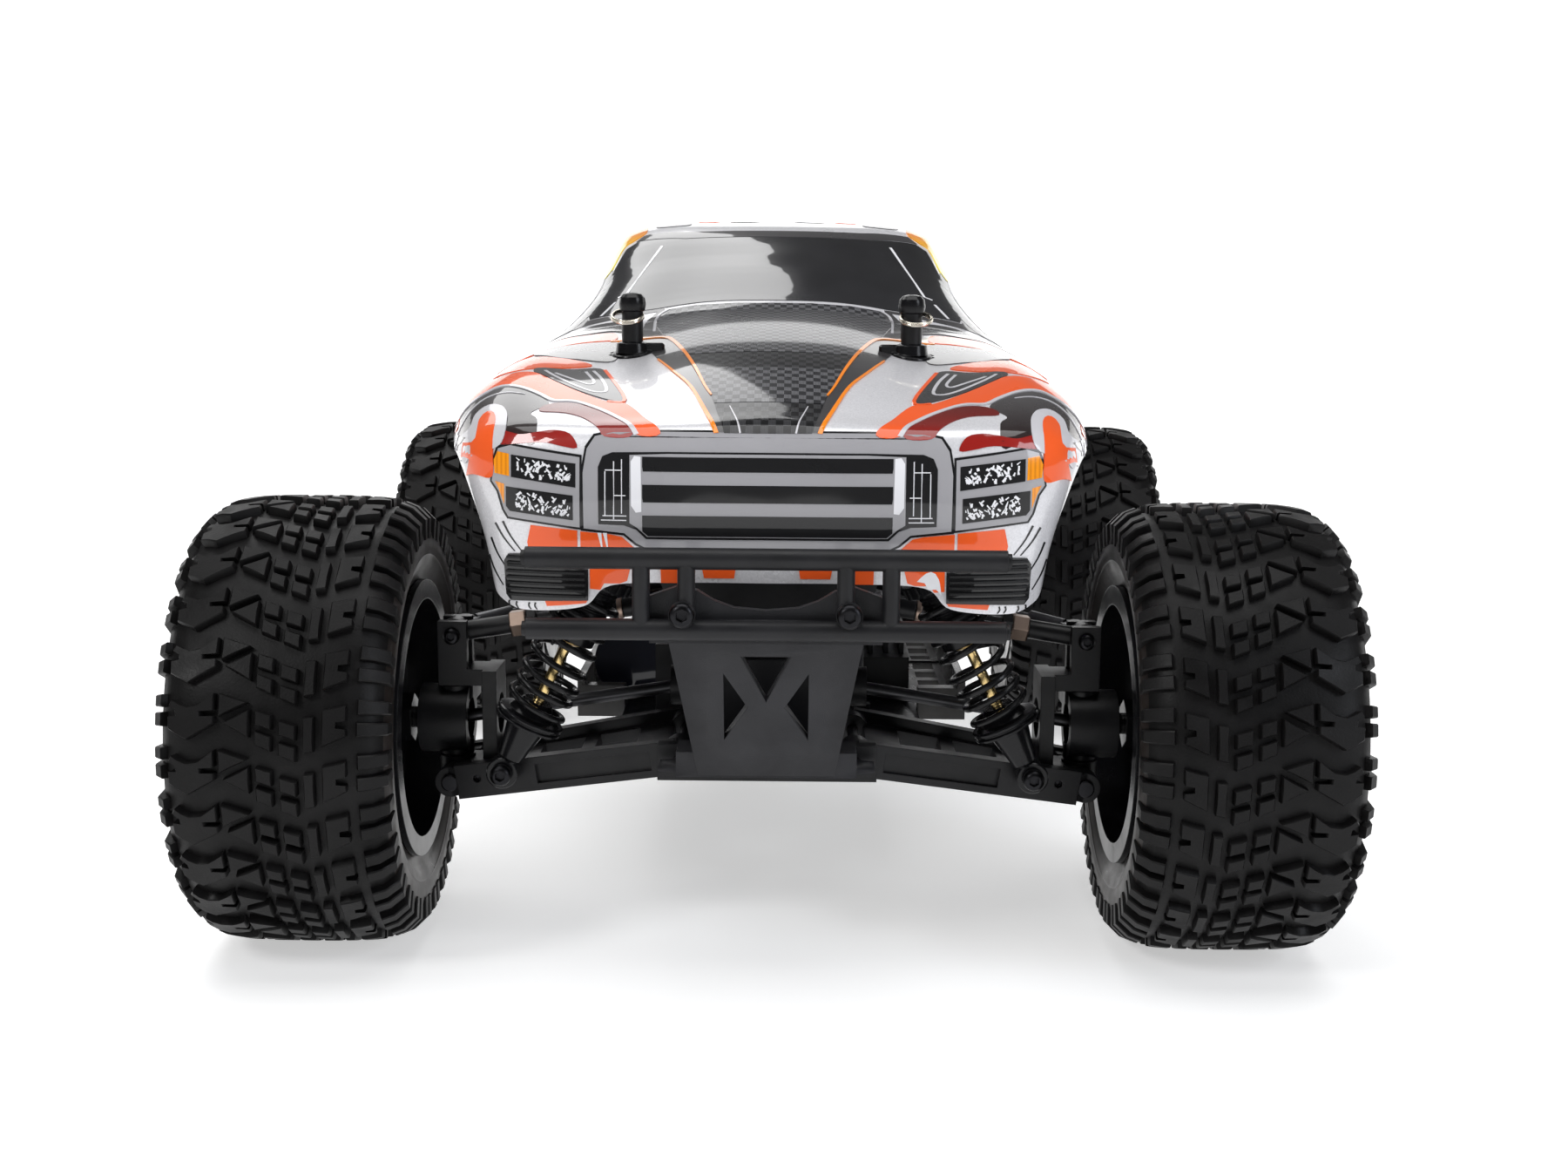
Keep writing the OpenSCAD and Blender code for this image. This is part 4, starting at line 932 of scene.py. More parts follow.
def print_nose(p):
    black, white, amber, grey = p["black"], p["white"], p["amber"], p["grey"]
    black.middle("nose", [
        (30, 117.4), (33.4, 119), (36.2, 121.4), (39, 121.7), (47, 122.4), (47.1, 137), (46, 143.6),
        (43.9, 146.6), (39, 147.6), (25, 147.8)], 1)
    grey.middle("nose", [
        (30, 118), (33, 119.5), (36, 122), (39, 122.3), (46.3, 123), (46.5, 137), (45.5, 143),
        (43.5, 146), (39, 147), (25, 147.3)], 2)
    black.middle("nose", [
        (30.5, 120.6), (33, 123), (36, 124), (42.5, 124.2), (42.6, 138.5), (41.5, 141.2), (39, 142.2),
        (25, 142.5)], 3)
    grey.middle("nose", [(30.2, 121.2), (32.6, 123.4), (34.6, 124.6), (34.6, 141.6), (25, 142)], 4)
    for low, high in ((137.6, 141.2), (129.9, 134.3), (121.4, 126.6)):
        foot = 30 if low < 125 else 31.2
        black.middle("nose", [(foot, low), (31.4, low + 1.2), (31.4, high), (20, high)], 5)
    white.cut("nose", [
        (31.6, 127.5), (33, 127.3), (34.2, 129), (34.3, 140), (33.4, 141.4), (31.8, 141.2)], 5)
    for x, low, high in ((36.6, 127, 140.5), (38.6, 125.5, 140), (40.8, 126.5, 137.5)):
        white.line("nose", [(x, low), (x, high)], 0.25, 5, smooth=False)
    for z, x0, x1 in ((125.3, 35.4, 41.8), (126.4, 35.4, 41.4), (131.5, 35.6, 38.6),
                      (137.8, 36.6, 40.8)):
        white.line("nose", [(x0, z), (x1, z)], 0.25, 5, smooth=False)
    # head lamps: two stacked units a side, with amber corners
    black.cut("nose", [
        (46.8, 122.6), (66.2, 124.8), (67.6, 127), (69, 131.6), (70.8, 134), (70, 140), (69, 143),
        (65.5, 143.9), (58, 142.8), (46.8, 141.4)], 2)
    grey.cut("nose", [
        (47.3, 123.2), (65.8, 125.3), (67, 127.2), (68.4, 131.8), (70.2, 134.2), (69.4, 139.8),
        (68.5, 142.4), (65.3, 143.3), (58, 142.2), (47.3, 140.8)], 3)
    units = ([(48.3, 133.2), (65, 135.4), (65, 141), (48.3, 139.2)],
             [(49, 125), (65.4, 126.8), (66.4, 128), (66.4, 133), (49, 131.2)])
    for unit in units:
        black.cut("nose", unit, 4)
    draw = Random(7)
    for unit in units:
        z0, rise = unit[0][1], (unit[1][1] - unit[0][1]) / 16.5
        for _ in range(64):
            x = draw.uniform(49.8, 63.6)
            z = z0 + rise * (x - 48.3) + draw.uniform(1.0, 4.9)
            lean, tall = draw.uniform(-1.0, 1.0), draw.uniform(0.3, 1.3)
            ends = [(x, z - tall / 2), (x + lean, z + tall / 2)]
            width, taper = draw.uniform(0.25, 0.75), draw.uniform(0.2, 1)
            white.line("nose", ends, width, 5, smooth=False, taper=taper)
    amber.cut("nose", [(65.5, 135.6), (69.4, 136.2), (69.6, 139.5), (68.6, 141.7), (65.6, 141.2)], 4)
    amber.cut("nose", [(66.9, 128.6), (68.3, 132.4), (69.3, 134.2), (66.9, 133.6)], 4)
    # fog vents with moulded ribs
    black.cut("nose", [
        (45.6, 104.2), (65.8, 103.4), (67, 105), (67.2, 114), (66, 115.8), (61.4, 116), (60, 112.6),
        (45.4, 112.4)], 3, thick=0.2)
    for i in range(6):
        z, end = 105 + i * 1.55, 66.4 if i < 5 else 66
        p["rib"].cut("nose", [(46.2, z), (end, z - 0.1), (end, z + 0.5), (46.2, z + 0.6)], 4, thick=0.7)
    for z in (113.4, 114.8):
        p["rib"].cut("nose", [(61.4, z), (66.2, z), (66.2, z + 0.5), (61.7, z + 0.5)], 4, thick=0.7)
    # orange panels and claw marks under the lamps
    for panel in ([(48, 122.4), (60, 123.4), (61, 119), (60.4, 115.4), (48, 115)],
                  [(39.5, 121.6), (47.2, 122.2), (47.2, 115), (33.5, 115), (33.5, 118.2), (36.6, 121)],
                  [(34.5, 113.6), (45, 113.6), (45.2, 102.5), (42, 103.5), (36, 108)],
                  [(45.6, 104.4), (57, 104.2), (56.4, 102.3), (52, 102.7), (46.2, 103.4)],
                  [(21, 113), (27, 113), (27, 109), (22, 109)],
                  [(8, 113), (16.5, 113), (16, 110.4), (8.4, 110.4)]):
        p["orange"].cut("nose", panel, 2)
    white.area("nose", [
        (37, 107.4), (39, 111), (41.5, 112.6), (43.6, 110.5), (44.4, 104), (42, 104)], 3, sides=(1,))
    for x in (40.4, 41.8):
        white.cut("nose", [(x, 122), (x + 1, 122), (x - 0.4, 116.4)], 3, sides=(-1,))
    for a, b in (((67.5, 124), (62.6, 116.6)), ((69.6, 123.4), (64.4, 116.4)), ((71, 119.4), (67, 112)),
                 ((72, 114.6), (68, 107)), ((59.4, 103), (59, 101.2)), ((61, 103), (60.6, 101.2)),
                 ((64.4, 103), (64, 101.3)), ((66.4, 103.2), (66, 101.8))):
        middle = ((a[0] + b[0]) / 2 + 0.4, (a[1] + b[1]) / 2)
        p["line_black"].line("nose", [a, middle, b], 0.45, 2, taper=0.4)


def print_cab(p):
    window, black, white, dark, orange = p["window"], p["black"], p["white"], p["dark"], p["orange"]
    # windshield with its light border lines, and the dark visor band over it
    window.middle("hood", [
        (36, 108.5), (48, 110), (58.4, 113.5), (59.4, 120), (57, 142), (53.4, 158), (49.8, 173),
        (46.4, 176), (30, 170.5)], 2)
    dark.middle("hood", [(30, 171.2), (46.8, 177), (44, 182), (28, 178.5)], 2)
    # smoked pillars round the windshield, which run on to the side windows
    dark.cut("hood", [
        (34, 105.6), (48, 106), (60, 107.5), (67, 109), (70, 114), (68, 128), (64, 142), (60, 153),
        (57.4, 159.6), (54, 159.6), (57.6, 142), (60, 120), (59, 112.8), (48, 109.2), (34, 107.6)], 1)
    dark.cut("side", [
        (-66, 161.5), (-50, 161.5), (-52, 165), (-34, 180.6), (-22, 186.4), (-27, 188), (-38, 184),
        (-50, 177), (-60, 169)], 1.5)
    white.line("hood", [(37.5, 166), (47.4, 127), (50, 126.4)], 0.9, 3, smooth=False)
    white.line("hood", [(50.6, 122.6), (54.6, 113)], 0.9, 3, smooth=False)
    black.area("roof", [(30, -13), (40, -12), (40, -4), (30, -5)], 2)
    p["sunset"].area("hood", [
        (44, 184), (47.6, 179), (51, 175), (54.6, 161), (57.6, 160), (57.4, 172), (55.4, 182),
        (51.8, 192), (47, 198), (44, 196)], 3)
    # side and rear windows
    window.cut("side", [(-53, 165.5), (-47, 171), (-33, 182), (-14, 191), (12, 192), (12, 165.5)], 2)
    window.cut("side", [(17, 165.5), (17, 192), (38, 190), (50, 176.5), (55, 165.5)], 2)
    white.line("side", [(-49, 167.5), (-34, 180), (-14, 189.2), (9, 190)], 0.7, 3)
    white.line("side", [(20, 190), (37, 188.4), (47.5, 176.5), (52, 167.5)], 0.7, 3)
    window.middle("rear", [(44, 113), (50, 117), (45, 150), (40, 152), (20, 153)], 2)
    white.line("rear", [(40, 148), (45, 120), (38, 116)], 0.8, 3, smooth=False)
    # roof stripes
    dark.area("roof", [(6, 2), (16, 0), (17, 40), (12, 44), (6, 44)], 2)
    orange.area("roof", [(20, 2), (27, -1), (25, 30), (21, 42), (19, 40)], 2)
    p["light"].line("roof", [(30, 0), (31, 20), (27, 42)], 1.0, 2, taper=0.5)


def print_sides(p):
    orange, dark, lines, black, light = p["orange"], p["dark"], p["lines"], p["line_black"], p["light"]
    # door and bed flames
    orange.area("side", [
        (-76, 150), (-62, 157.5), (-40, 158.5), (-12, 156), (10, 153), (28, 148), (14, 149), (-6, 149.5),
        (4, 146), (22, 140), (36, 133), (14, 138), (-16, 142), (-30, 142), (-20, 137), (-6, 131),
        (8, 123), (-16, 131), (-40, 135), (-58, 137), (-72, 132), (-68, 142)], 2)
    lines.line("side", [(-70, 129), (-56, 133.5), (-36, 131), (-14, 125.5), (6, 118)], 1.2, 3, taper=0.3)
    lines.line("side", [(-64, 160.2), (-40, 161), (-10, 158.6), (16, 155)], 1.0, 3, taper=0.3)
    dark.area("side", [
        (-70, 124), (-52, 128), (-30, 124), (-8, 116), (20, 108), (46, 106), (66, 112), (64, 104),
        (40, 101), (-36, 101), (-62, 106)], 2)
    light.line("side", [(-58, 118), (-30, 114), (0, 108.5), (30, 105.4)], 1.0, 3, taper=0.4)
    orange.area("side", [
        (38, 158), (56, 158), (78, 158.5), (100, 158.5), (128, 157), (152, 152), (134, 153), (112, 152),
        (96, 149), (110, 147), (124, 143), (104, 143.5), (84, 146), (70, 148), (52, 152)], 2)
    lines.line("side", [(60, 148), (76, 144.5), (92, 141.5), (100, 140)], 1.0, 3, taper=0.3)
    dark.area("side", [
        (48, 146), (60, 141), (74, 136), (80, 130), (77, 122), (66, 126), (52, 134), (42, 142)], 2)
    # fender tips over the front wheel
    orange.area("side", [
        (-158, 146), (-146, 151), (-128, 154), (-108, 154), (-90, 152), (-98, 148), (-116, 148),
        (-132, 146), (-146, 143)], 2)
    # panel gaps, handle and sills
    black.line("side", [(-56, 164), (-58, 140), (-60, 118), (-54, 102)], 0.5, 4)
    black.line("side", [(14.5, 164), (15, 140), (15, 112), (12, 99)], 0.5, 4)
    black.area("side", [(2, 156.5), (11, 156.5), (11.5, 154), (2, 153.8)], 4, thick=0.5)
    black.line("side", [(-50, 97.5), (-20, 96.5), (20, 96.5), (50, 97.5)], 2.4, 3)


def print_rear(p):
    dark, black, lines = p["dark"], p["black"], p["lines"]
    # ribbed bed cover
    p["carbon"].middle("roof", [(56, 80), (60, 90), (60, 160), (54, 174), (20, 178)], 2)
    for x in (12, 24, 36, 48):
        lines.line("roof", [(x, y) for y in range(86, 171, 6)], 0.8, 3, smooth=False)
    lines.line("roof", [(0, y) for y in range(86, 171, 6)], 0.8, 3, smooth=False, sides=(1,))
    # tailgate and tail lamps
    black.middle("tail", [(50, 117), (52, 121), (50, 150), (44, 153)], 1)
    dark.middle("tail", [(48.8, 118), (50.8, 121.4), (48.8, 149.2), (43.4, 152)], 2)
    p["orange"].middle("tail", [(30, 128), (44, 124), (40, 134), (24, 140), (10, 141), (12, 134)], 3)
    black.area("tail", rounded_box(-9, 144, 9, 149), 3, sides=(1,), thick=0.5)
    black.area("tail", rounded_box(54.5, 122, 69, 149, 1.5), 3)
    p["lamp_red"].area("tail", rounded_box(55.5, 136.5, 68, 148, 1.2), 4, thick=0.4)
    p["lamp_white"].area("tail", rounded_box(55.5, 130.5, 68, 135.5, 0.8), 4, thick=0.3)
    p["amber"].area("tail", rounded_box(55.5, 123, 68, 129.5, 0.8), 4, thick=0.3)


# Finish of each set of printed areas. Each set is one piece.
PRINT_FINISH = {
    "orange": "orange", "light": "orange_light", "dark": "grey_dark", "lines": "grey_line",
    "smoke": "smoke", "maroon": "maroon", "carbon": "carbon", "edge": "grey_dark",
    "black": "print_black", "white": "white", "amber": "amber", "grey": "grey_trim",
    # the lighter carbon is painted reflection in bands on the hood's centre panel
    "carbon_light": "carbon_light", "rib": "black_plastic", "line_black": "print_black",
    "window": "window", "sunset": "sunset", "lamp_red": "lamp_red", "lamp_white": "lamp_white"}


def make_prints():
    prints = {key: Prints() for key in PRINT_FINISH}
    for section in (print_hood, print_nose, print_cab, print_sides, print_rear):
        section(prints)
    for key, finish in PRINT_FINISH.items():
        prints[key].make("print_" + key, finish)


make_prints()


RING_R, RING_WIRE, RING_PITCH = 4.3, 0.42, 1.0
RING_TILT = math.radians(24)
RING_STEPS = 80        # mesh steps over a ring's two turns


def make_grommets():
    """Rubber boots and knobs of the four posts, and the split rings that go through them."""
    cups, rings = Build(), Build()
    for sx, sy in SIGNS:
        at, normal = SKIN.ray_cast(Vector((POST.x * sx, POST.y * sy, FAR)), Vector((0, 0, -1)))[:2]
        cups.lathe([(-1.9, 3.5), (-1.9, 5.2), (-1.4, 5.6), (0.3, 6.0), (0.7, 5.8), (0.9, 5.2), (0.8, 4.0),
                    (0.4, 3.45), (-1.9, 3.5)], at, normal if normal.z > 0 else -normal, 36)
        cups.lathe([(0.2, 3.3), (0.2, 4.7), (3.0, 4.4), (3.5, 3.3)], at, (0, 0, 1), 28)
        near, far = sorted((at.x - sx * 9, at.x - sx * 2.6))
        cups.box((near, at.y - 1.6, at.z + 0.3), (far, at.y + 1.6, at.z + 3.2), 0.6)
        cups.lathe([(-3.4, 2.9), (-3.0, 3.5), (-1.2, 3.8), (0.6, 3.5), (1.6, 2.6), (2.0, 1.2)],
                   (at.x, at.y, POST.z), (0, 0, 1), 28)
        path = []
        centre = Vector(((POST.x + 1.1) * sx, (POST.y - 2.9) * sy, 174.4))
        for step in range(RING_STEPS):
            a = 4 * math.pi * step / RING_STEPS
            out = RING_R * math.sin(a)
            rise = out * math.sin(RING_TILT) + RING_PITCH * step / RING_STEPS
            path.append(centre + Vector((RING_R * math.cos(a), sy * out * math.cos(RING_TILT), rise)))
        rings.tube(path, RING_WIRE, 8)
    cups.make("post_fittings", "chassis", "shock_black", "black_plastic")
    ring_piece = rings.make("clip_rings", "chassis", "ring_steel", "bright_steel")
    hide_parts("body_clips")


make_grommets()

# ------------------------------------------------------------------ tyres

PITCHES = 27           # repeats of the tread pattern round the tyre
TYRE_R, TYRE_HALF_W = 62.5, 29
TYRE_SIDES = 108
SIDEWALL_R = 51.5      # the sidewall's rubber is browner below this radius
LUG_H = 2.3
# Half sections of the tyre, as distance from its middle and radius: outside, then inside
CARCASS = [
    (0, 60.2), (8, 60.15), (16, 59.9), (21.5, 59.2), (25.4, 57.6), (28, 54.8), (29, 51), (29, 47.5),
    (28.7, 46.9), (28.7, 46.1), (28.3, 45.6), (27.8, 43.4), (27.2, 42.8), (27, 42.1), (26.5, 41.5),
    (26.2, 39.3)]
CAVITY = [(25.6, 38.2), (23.5, 38.6), (24.2, 41), (26, 46), (26.4, 51), (24.5, 54), (19, 56.7), (0, 57)]
# Tread blocks of one pitch, across from the outer to the inner edge and along the tread, in mm
BLOCKS = [
    [(-13, 5.5), (-16.6, 2.7), (-20.2, 2), (-23.4, 3.8), (-24.2, 2.4), (-22.4, 1.2), (-22.2, -0.4),
     (-24.4, -0.6), (-24.2, -3.8), (-19.7, -6.4), (-13, -2.2), (-13, -0.4), (-16.2, -0.5), (-16.4, 1),
     (-13, 1.2)],
    [(-11.8, 5.5), (-4.7, 3.2), (-11.8, -0.4)],
    [(-10.7, -2), (-4.2, 1.4), (-4.2, -5.6)],
    [(-2.6, 1.2), (1.4, 0), (1.4, -3.6), (-2.6, -2.4)],
    [(-2.6, -4), (1.4, -5.5), (1.4, -9.2), (-2.6, -7.5)],
    [(3.3, -1.4), (7.5, -2.7), (7.5, -6.3), (3.3, -5)],
    [(3.3, -6.9), (7.5, -8.2), (7.5, -11.9), (3.3, -10.2)],
    [(9.4, -0.6), (11.9, -0.4), (11.9, -9.2), (9.4, -9.7)],
    [(14.1, 1.4), (19.8, 2.8), (19.8, -1.2), (17.3, -1.3), (17.2, -3.5), (19.8, -3.6), (19.8, -5.2),
     (14, -8)],
]
# Shoulder lugs: where each starts across the tread, its two edges along the tread, and its side.
# Each ends at a row of its own on the sidewall: its place, its radius and the way out from it.
LUG_FOOT_R, LUG_FOOT = 52, (28.9, 50.6, Vector((1, 0.05)))
SHOULDER_LUGS = [(22.2, 4.2, 0.4, 1), (22.0, -1.8, -5.4, 1), (26.0, 5.5, 2.2, -1), (26.0, 0.6, -3.2, -1)]


def carcass_at(s):
    """Radius and outward direction of the carcass at a distance from the tyre's middle."""
    s, sign = abs(s), 1 if s >= 0 else -1
    for (s0, r0), (s1, r1) in zip(CARCASS, CARCASS[1:]):
        if s <= s1 or s1 >= TYRE_HALF_W:
            t = (s - s0) / (s1 - s0) if s1 > s0 else 0
            slope = Vector((s1 - s0, r1 - r0)).normalized()
            return r0 + (r1 - r0) * t, Vector((-slope.y * sign, slope.x))


def on_tyre(s, r, t):
    """The point of the front left tyre at s across, radius r and t along the tread at the crown."""
    a = t / TYRE_R
    return Vector((WHEEL_X - s, AXLE_Y - r * math.cos(a), AXLE_Z + r * math.sin(a)))


def block(made, outline, shift):
    """One tread block with chamfered edges."""
    pts = straight_outline(outline, 3.5)
    middle = sum(pts, Vector((0, 0))) / len(pts)
    rings = []
    for height, inset in ((-0.7, -0.3), (LUG_H - 0.35, 0.0), (LUG_H, 0.35)):
        ring = []
        for p in pts:
            away = p - middle
            q = p - away.normalized() * min(inset, away.length / 2)
            r, out = carcass_at(q.x)
            ring.append(on_tyre(q.x + out.x * height, r + out.y * height, q.y + shift))
        rings.append(ring)
    made.loft(rings, caps=False)
    made.add(rings[-1], [list(range(len(pts)))])


def shoulder_lug(made, start, high, low, side, shift):
    """A lug that runs from the tread's edge down over the shoulder."""
    places = [start] + [s for s, r in CARCASS if s > start and r > LUG_FOOT_R]
    rows = [(s, *carcass_at(s), LUG_H * 0.9) for s in places] + [(*LUG_FOOT, 0.5)]
    rings = []
    for s, r, out, top in rows:
        section = ((-0.6, -0.2), (top - 0.3, 0), (top, 0.35))
        edge = [(height, high - inset) for height, inset in section]
        edge += [(height, low + inset) for height, inset in section[::-1]]
        rings.append([on_tyre(side * (s + out.x * height), r + out.y * height, t + shift)
                      for height, t in edge])
    made.loft(rings)


def tyre_build():
    """The front left tyre: its carcass with the cavity, and all its tread blocks."""
    made = Build()
    profile = [(-s, r) for s, r in reversed(CARCASS)] + CARCASS[1:]
    profile += CAVITY + [(-s, r) for s, r in reversed(CAVITY[:-1])]
    count = len(profile)
    for i in range(TYRE_SIDES):
        made.points += [on_tyre(s, r, 2 * math.pi * TYRE_R * i / TYRE_SIDES) for s, r in profile]
        here, there = i * count, (i + 1) % TYRE_SIDES * count
        for k in range(count):
            n = (k + 1) % count
            made.faces.append([here + k, here + n, there + n, there + k])
            low_wall = min(profile[k][1], profile[n][1]) < SIDEWALL_R and k < 2 * len(CARCASS)
            made.marks.append(1 if low_wall else 0)
    for k in range(PITCHES):
        shift = k * 2 * math.pi * TYRE_R / PITCHES
        for outline in BLOCKS:
            block(made, outline, shift)
        for lug in SHOULDER_LUGS:
            shoulder_lug(made, *lug, shift)
    return made


def make_tyres():
    front, rear = tyre_build(), Build()
    rear.faces, rear.marks = front.faces, front.marks
    rear.points = [Vector((p.x, p.y - 2 * AXLE_Y, p.z)) for p in front.points]
    for corner, (sx, sy) in CORNERS.items():
        tyre = (front if sy > 0 else rear).make(
            "tread_" + corner, "wheel_" + corner, ["tyre_rubber", "tyre_sidewall"], "tyre_rubber",
            flip=(sx, 1), angle=TYRE_ANGLE)
        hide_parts("tyre_" + corner)


make_tyres()

# ------------------------------------------------------------------ springs and shocks


SPRING_TURNS, SPRING_STEPS = 8, 26
SPRING_R, SPRING_WIRE = 8.0, 0.95
SHOCK_SIDE = Vector((0, 1, 0))
SHOCK_OUT = SHOCK_DIR.cross(SHOCK_SIDE).normalized()


def by_shock(along, radius, a):
    """The point at a distance along the front left shock, at a radius and an angle round it."""
    out = SHOCK_SIDE * math.cos(a) + SHOCK_OUT * math.sin(a)
    return SHOCK_TOP + SHOCK_DIR * along + radius * out


def make_springs():
    coil = Build()
    path = []
    start = SPRING_FROM + SPRING_WIRE
    for i in range(SPRING_TURNS * SPRING_STEPS + 1):
        share = i / (SPRING_TURNS * SPRING_STEPS)
        eased = share + 0.018 * math.sin(4 * math.pi * share) - 0.012 * math.sin(2 * math.pi * share)
        along = start + (SPRING_TO - SPRING_FROM - SPRING_WIRE) * eased
        path.append(by_shock(along, SPRING_R, 2 * math.pi * SPRING_TURNS * share))
    coil.tube(path, SPRING_WIRE)
    for corner, flip in CORNERS.items():
        spring = coil.make("spring_" + corner, None, "spring_black", "spring_black", flip=flip)
        ends = [SHOCK_TOP + SHOCK_DIR * along for along in (SPRING_FROM, SPRING_TO)]
        ends = [Vector((p.x * flip[0], p.y * flip[1], p.z)) * MM for p in ends]
        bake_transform(spring)
        if corner == "front_left":
            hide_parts("shock_springs")


def make_shock_trim():
    body, rod, seal = Build(), Build(), Build()
    # threaded barrel, knurled collar and cap
    thread = [(14.6, 5.5), (14.6, 5.9)]
    for i in range(9):
        thread += [(15 + 1.3 * i, 6.5), (15.65 + 1.3 * i, 6.15)]
    thread += [(27, 5.9), (27, 5.5), (14.6, 5.5)]
    body.lathe(thread, SHOCK_TOP, SHOCK_DIR, 28)
    for a in round_angles(18):
        knurl = [(-1.5, 0.2), (-1.3, 0.55), (1.3, 0.55), (1.5, 0.2)]
        body.lathe(knurl, by_shock(12.7, 9.15, a), SHOCK_DIR, 6)
    body.lathe([(4.9, 4.5), (5.3, 6.2), (6.2, 6.9), (8.2, 6.9), (8.6, 6.5), (9.0, 6.9), (10.2, 6.9),
                (10.6, 6.3)], SHOCK_TOP, SHOCK_DIR, 12)
    seal.lathe([(31.4, 2.0), (31.7, 3.4), (32.6, 3.6), (33, 2.8), (33.2, 2.0), (31.4, 2.0)],
               SHOCK_TOP, SHOCK_DIR, 24)
    # bright rod, ribbed spring cup and moulded lower end
    cup = SPRING_TO
    rod.lathe([(18.2, 0.4), (18.2, 4.7), (21.2, 4.7), (21.2, 1.5), (cup + 1, 1.5)],
              SHOCK_TOP, SHOCK_DIR, 24)
    rod.lathe([(cup - 3.4, 1.7), (cup - 3.4, 4.0), (cup + 0.6, 6.6), (cup + 0.8, 9.0), (cup + 1.2, 9.5),
               (cup + 1.8, 9.5), (cup + 2.1, 8.7), (cup + 2.5, 8.7), (cup + 2.8, 9.4), (cup + 3.4, 9.4),
               (cup + 3.8, 8.2), (cup + 4.2, 5.6), (cup + 10, 4.2), (SHOCK_LEN - 4.6, 3.4),
               (SHOCK_LEN - 3.4, 2.2)], SHOCK_TOP, SHOCK_DIR, 36, mark=1)
    rod.lathe([(-2.6, 2.6), (-2.6, 4.0), (-2.2, 4.35), (2.2, 4.35), (2.6, 4.0), (2.6, 2.6), (-2.6, 2.6)],
              SHOCK_FOOT, (0, 1, 0), 32, mark=1)
    for corner, flip in CORNERS.items():
        rides = "shock_body_" + corner
        body.make("shock_barrel_" + corner, rides, "shock_black", "shock_black", flip=flip)
        seal.make("shock_seal_" + corner, rides, "brass", "brass", flip=flip)
        made = rod.make("shock_shaft_" + corner, "shock_rod_" + corner, ["gold_steel", "shock_black"],
                        "gold_steel", flip=flip)
        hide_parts("shock_rod_" + corner)


make_springs()
make_shock_trim()

# ------------------------------------------------------------------ nose of the chassis

SKID_LOW, SKID_FOOT = 49.5, 56.8   # height of the skid block's underside, in the CAD and here
SKID_BAND = 5                      # how far over its underside the block is thinned
NOSE_END, NOSE_LIFT = -160.0, 5.8  # the plate in front of this Y goes up by this much
WELD = 0.000002                    # distance, in metres, within which a bent mesh's points are joined


def bent_copy(name, node, rise):
    """A piece with the mesh of a CAD node, whose points go up by rise(point), in mm."""
    mesh = frame["nodes"][node].data.copy()
    for vertex in mesh.vertices:
        vertex.co.z += rise(vertex.co / MM) * MM
    work = bmesh.new()
    work.from_mesh(mesh)
    bmesh.ops.remove_doubles(work, verts=work.verts, dist=WELD)
    work.to_mesh(mesh)
    work.free()
    mesh.shade_smooth()
    mesh.set_sharp_from_angle(angle=SHARP_ANGLE)
    piece = placed(name, mesh)
    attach(piece, "chassis")
    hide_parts(node)


def skid_rise(point):
    """Thins the block under the bumper plate from below."""
    return (SKID_FOOT - point.z) + (point.z - SKID_LOW) * 0.5 if point.z < SKID_LOW + SKID_BAND else 0


def nose_rise(point):
    """Turns the front end of the chassis plate up, behind the bumper plate."""
    return NOSE_LIFT if point.y < NOSE_END else 0


bent_copy("bumper_plate", "front_bumper_plate", skid_rise)
bent_copy("chassis_base", "chassis_plate", nose_rise)

# ------------------------------------------------------------------ screws, nuts and small fittings


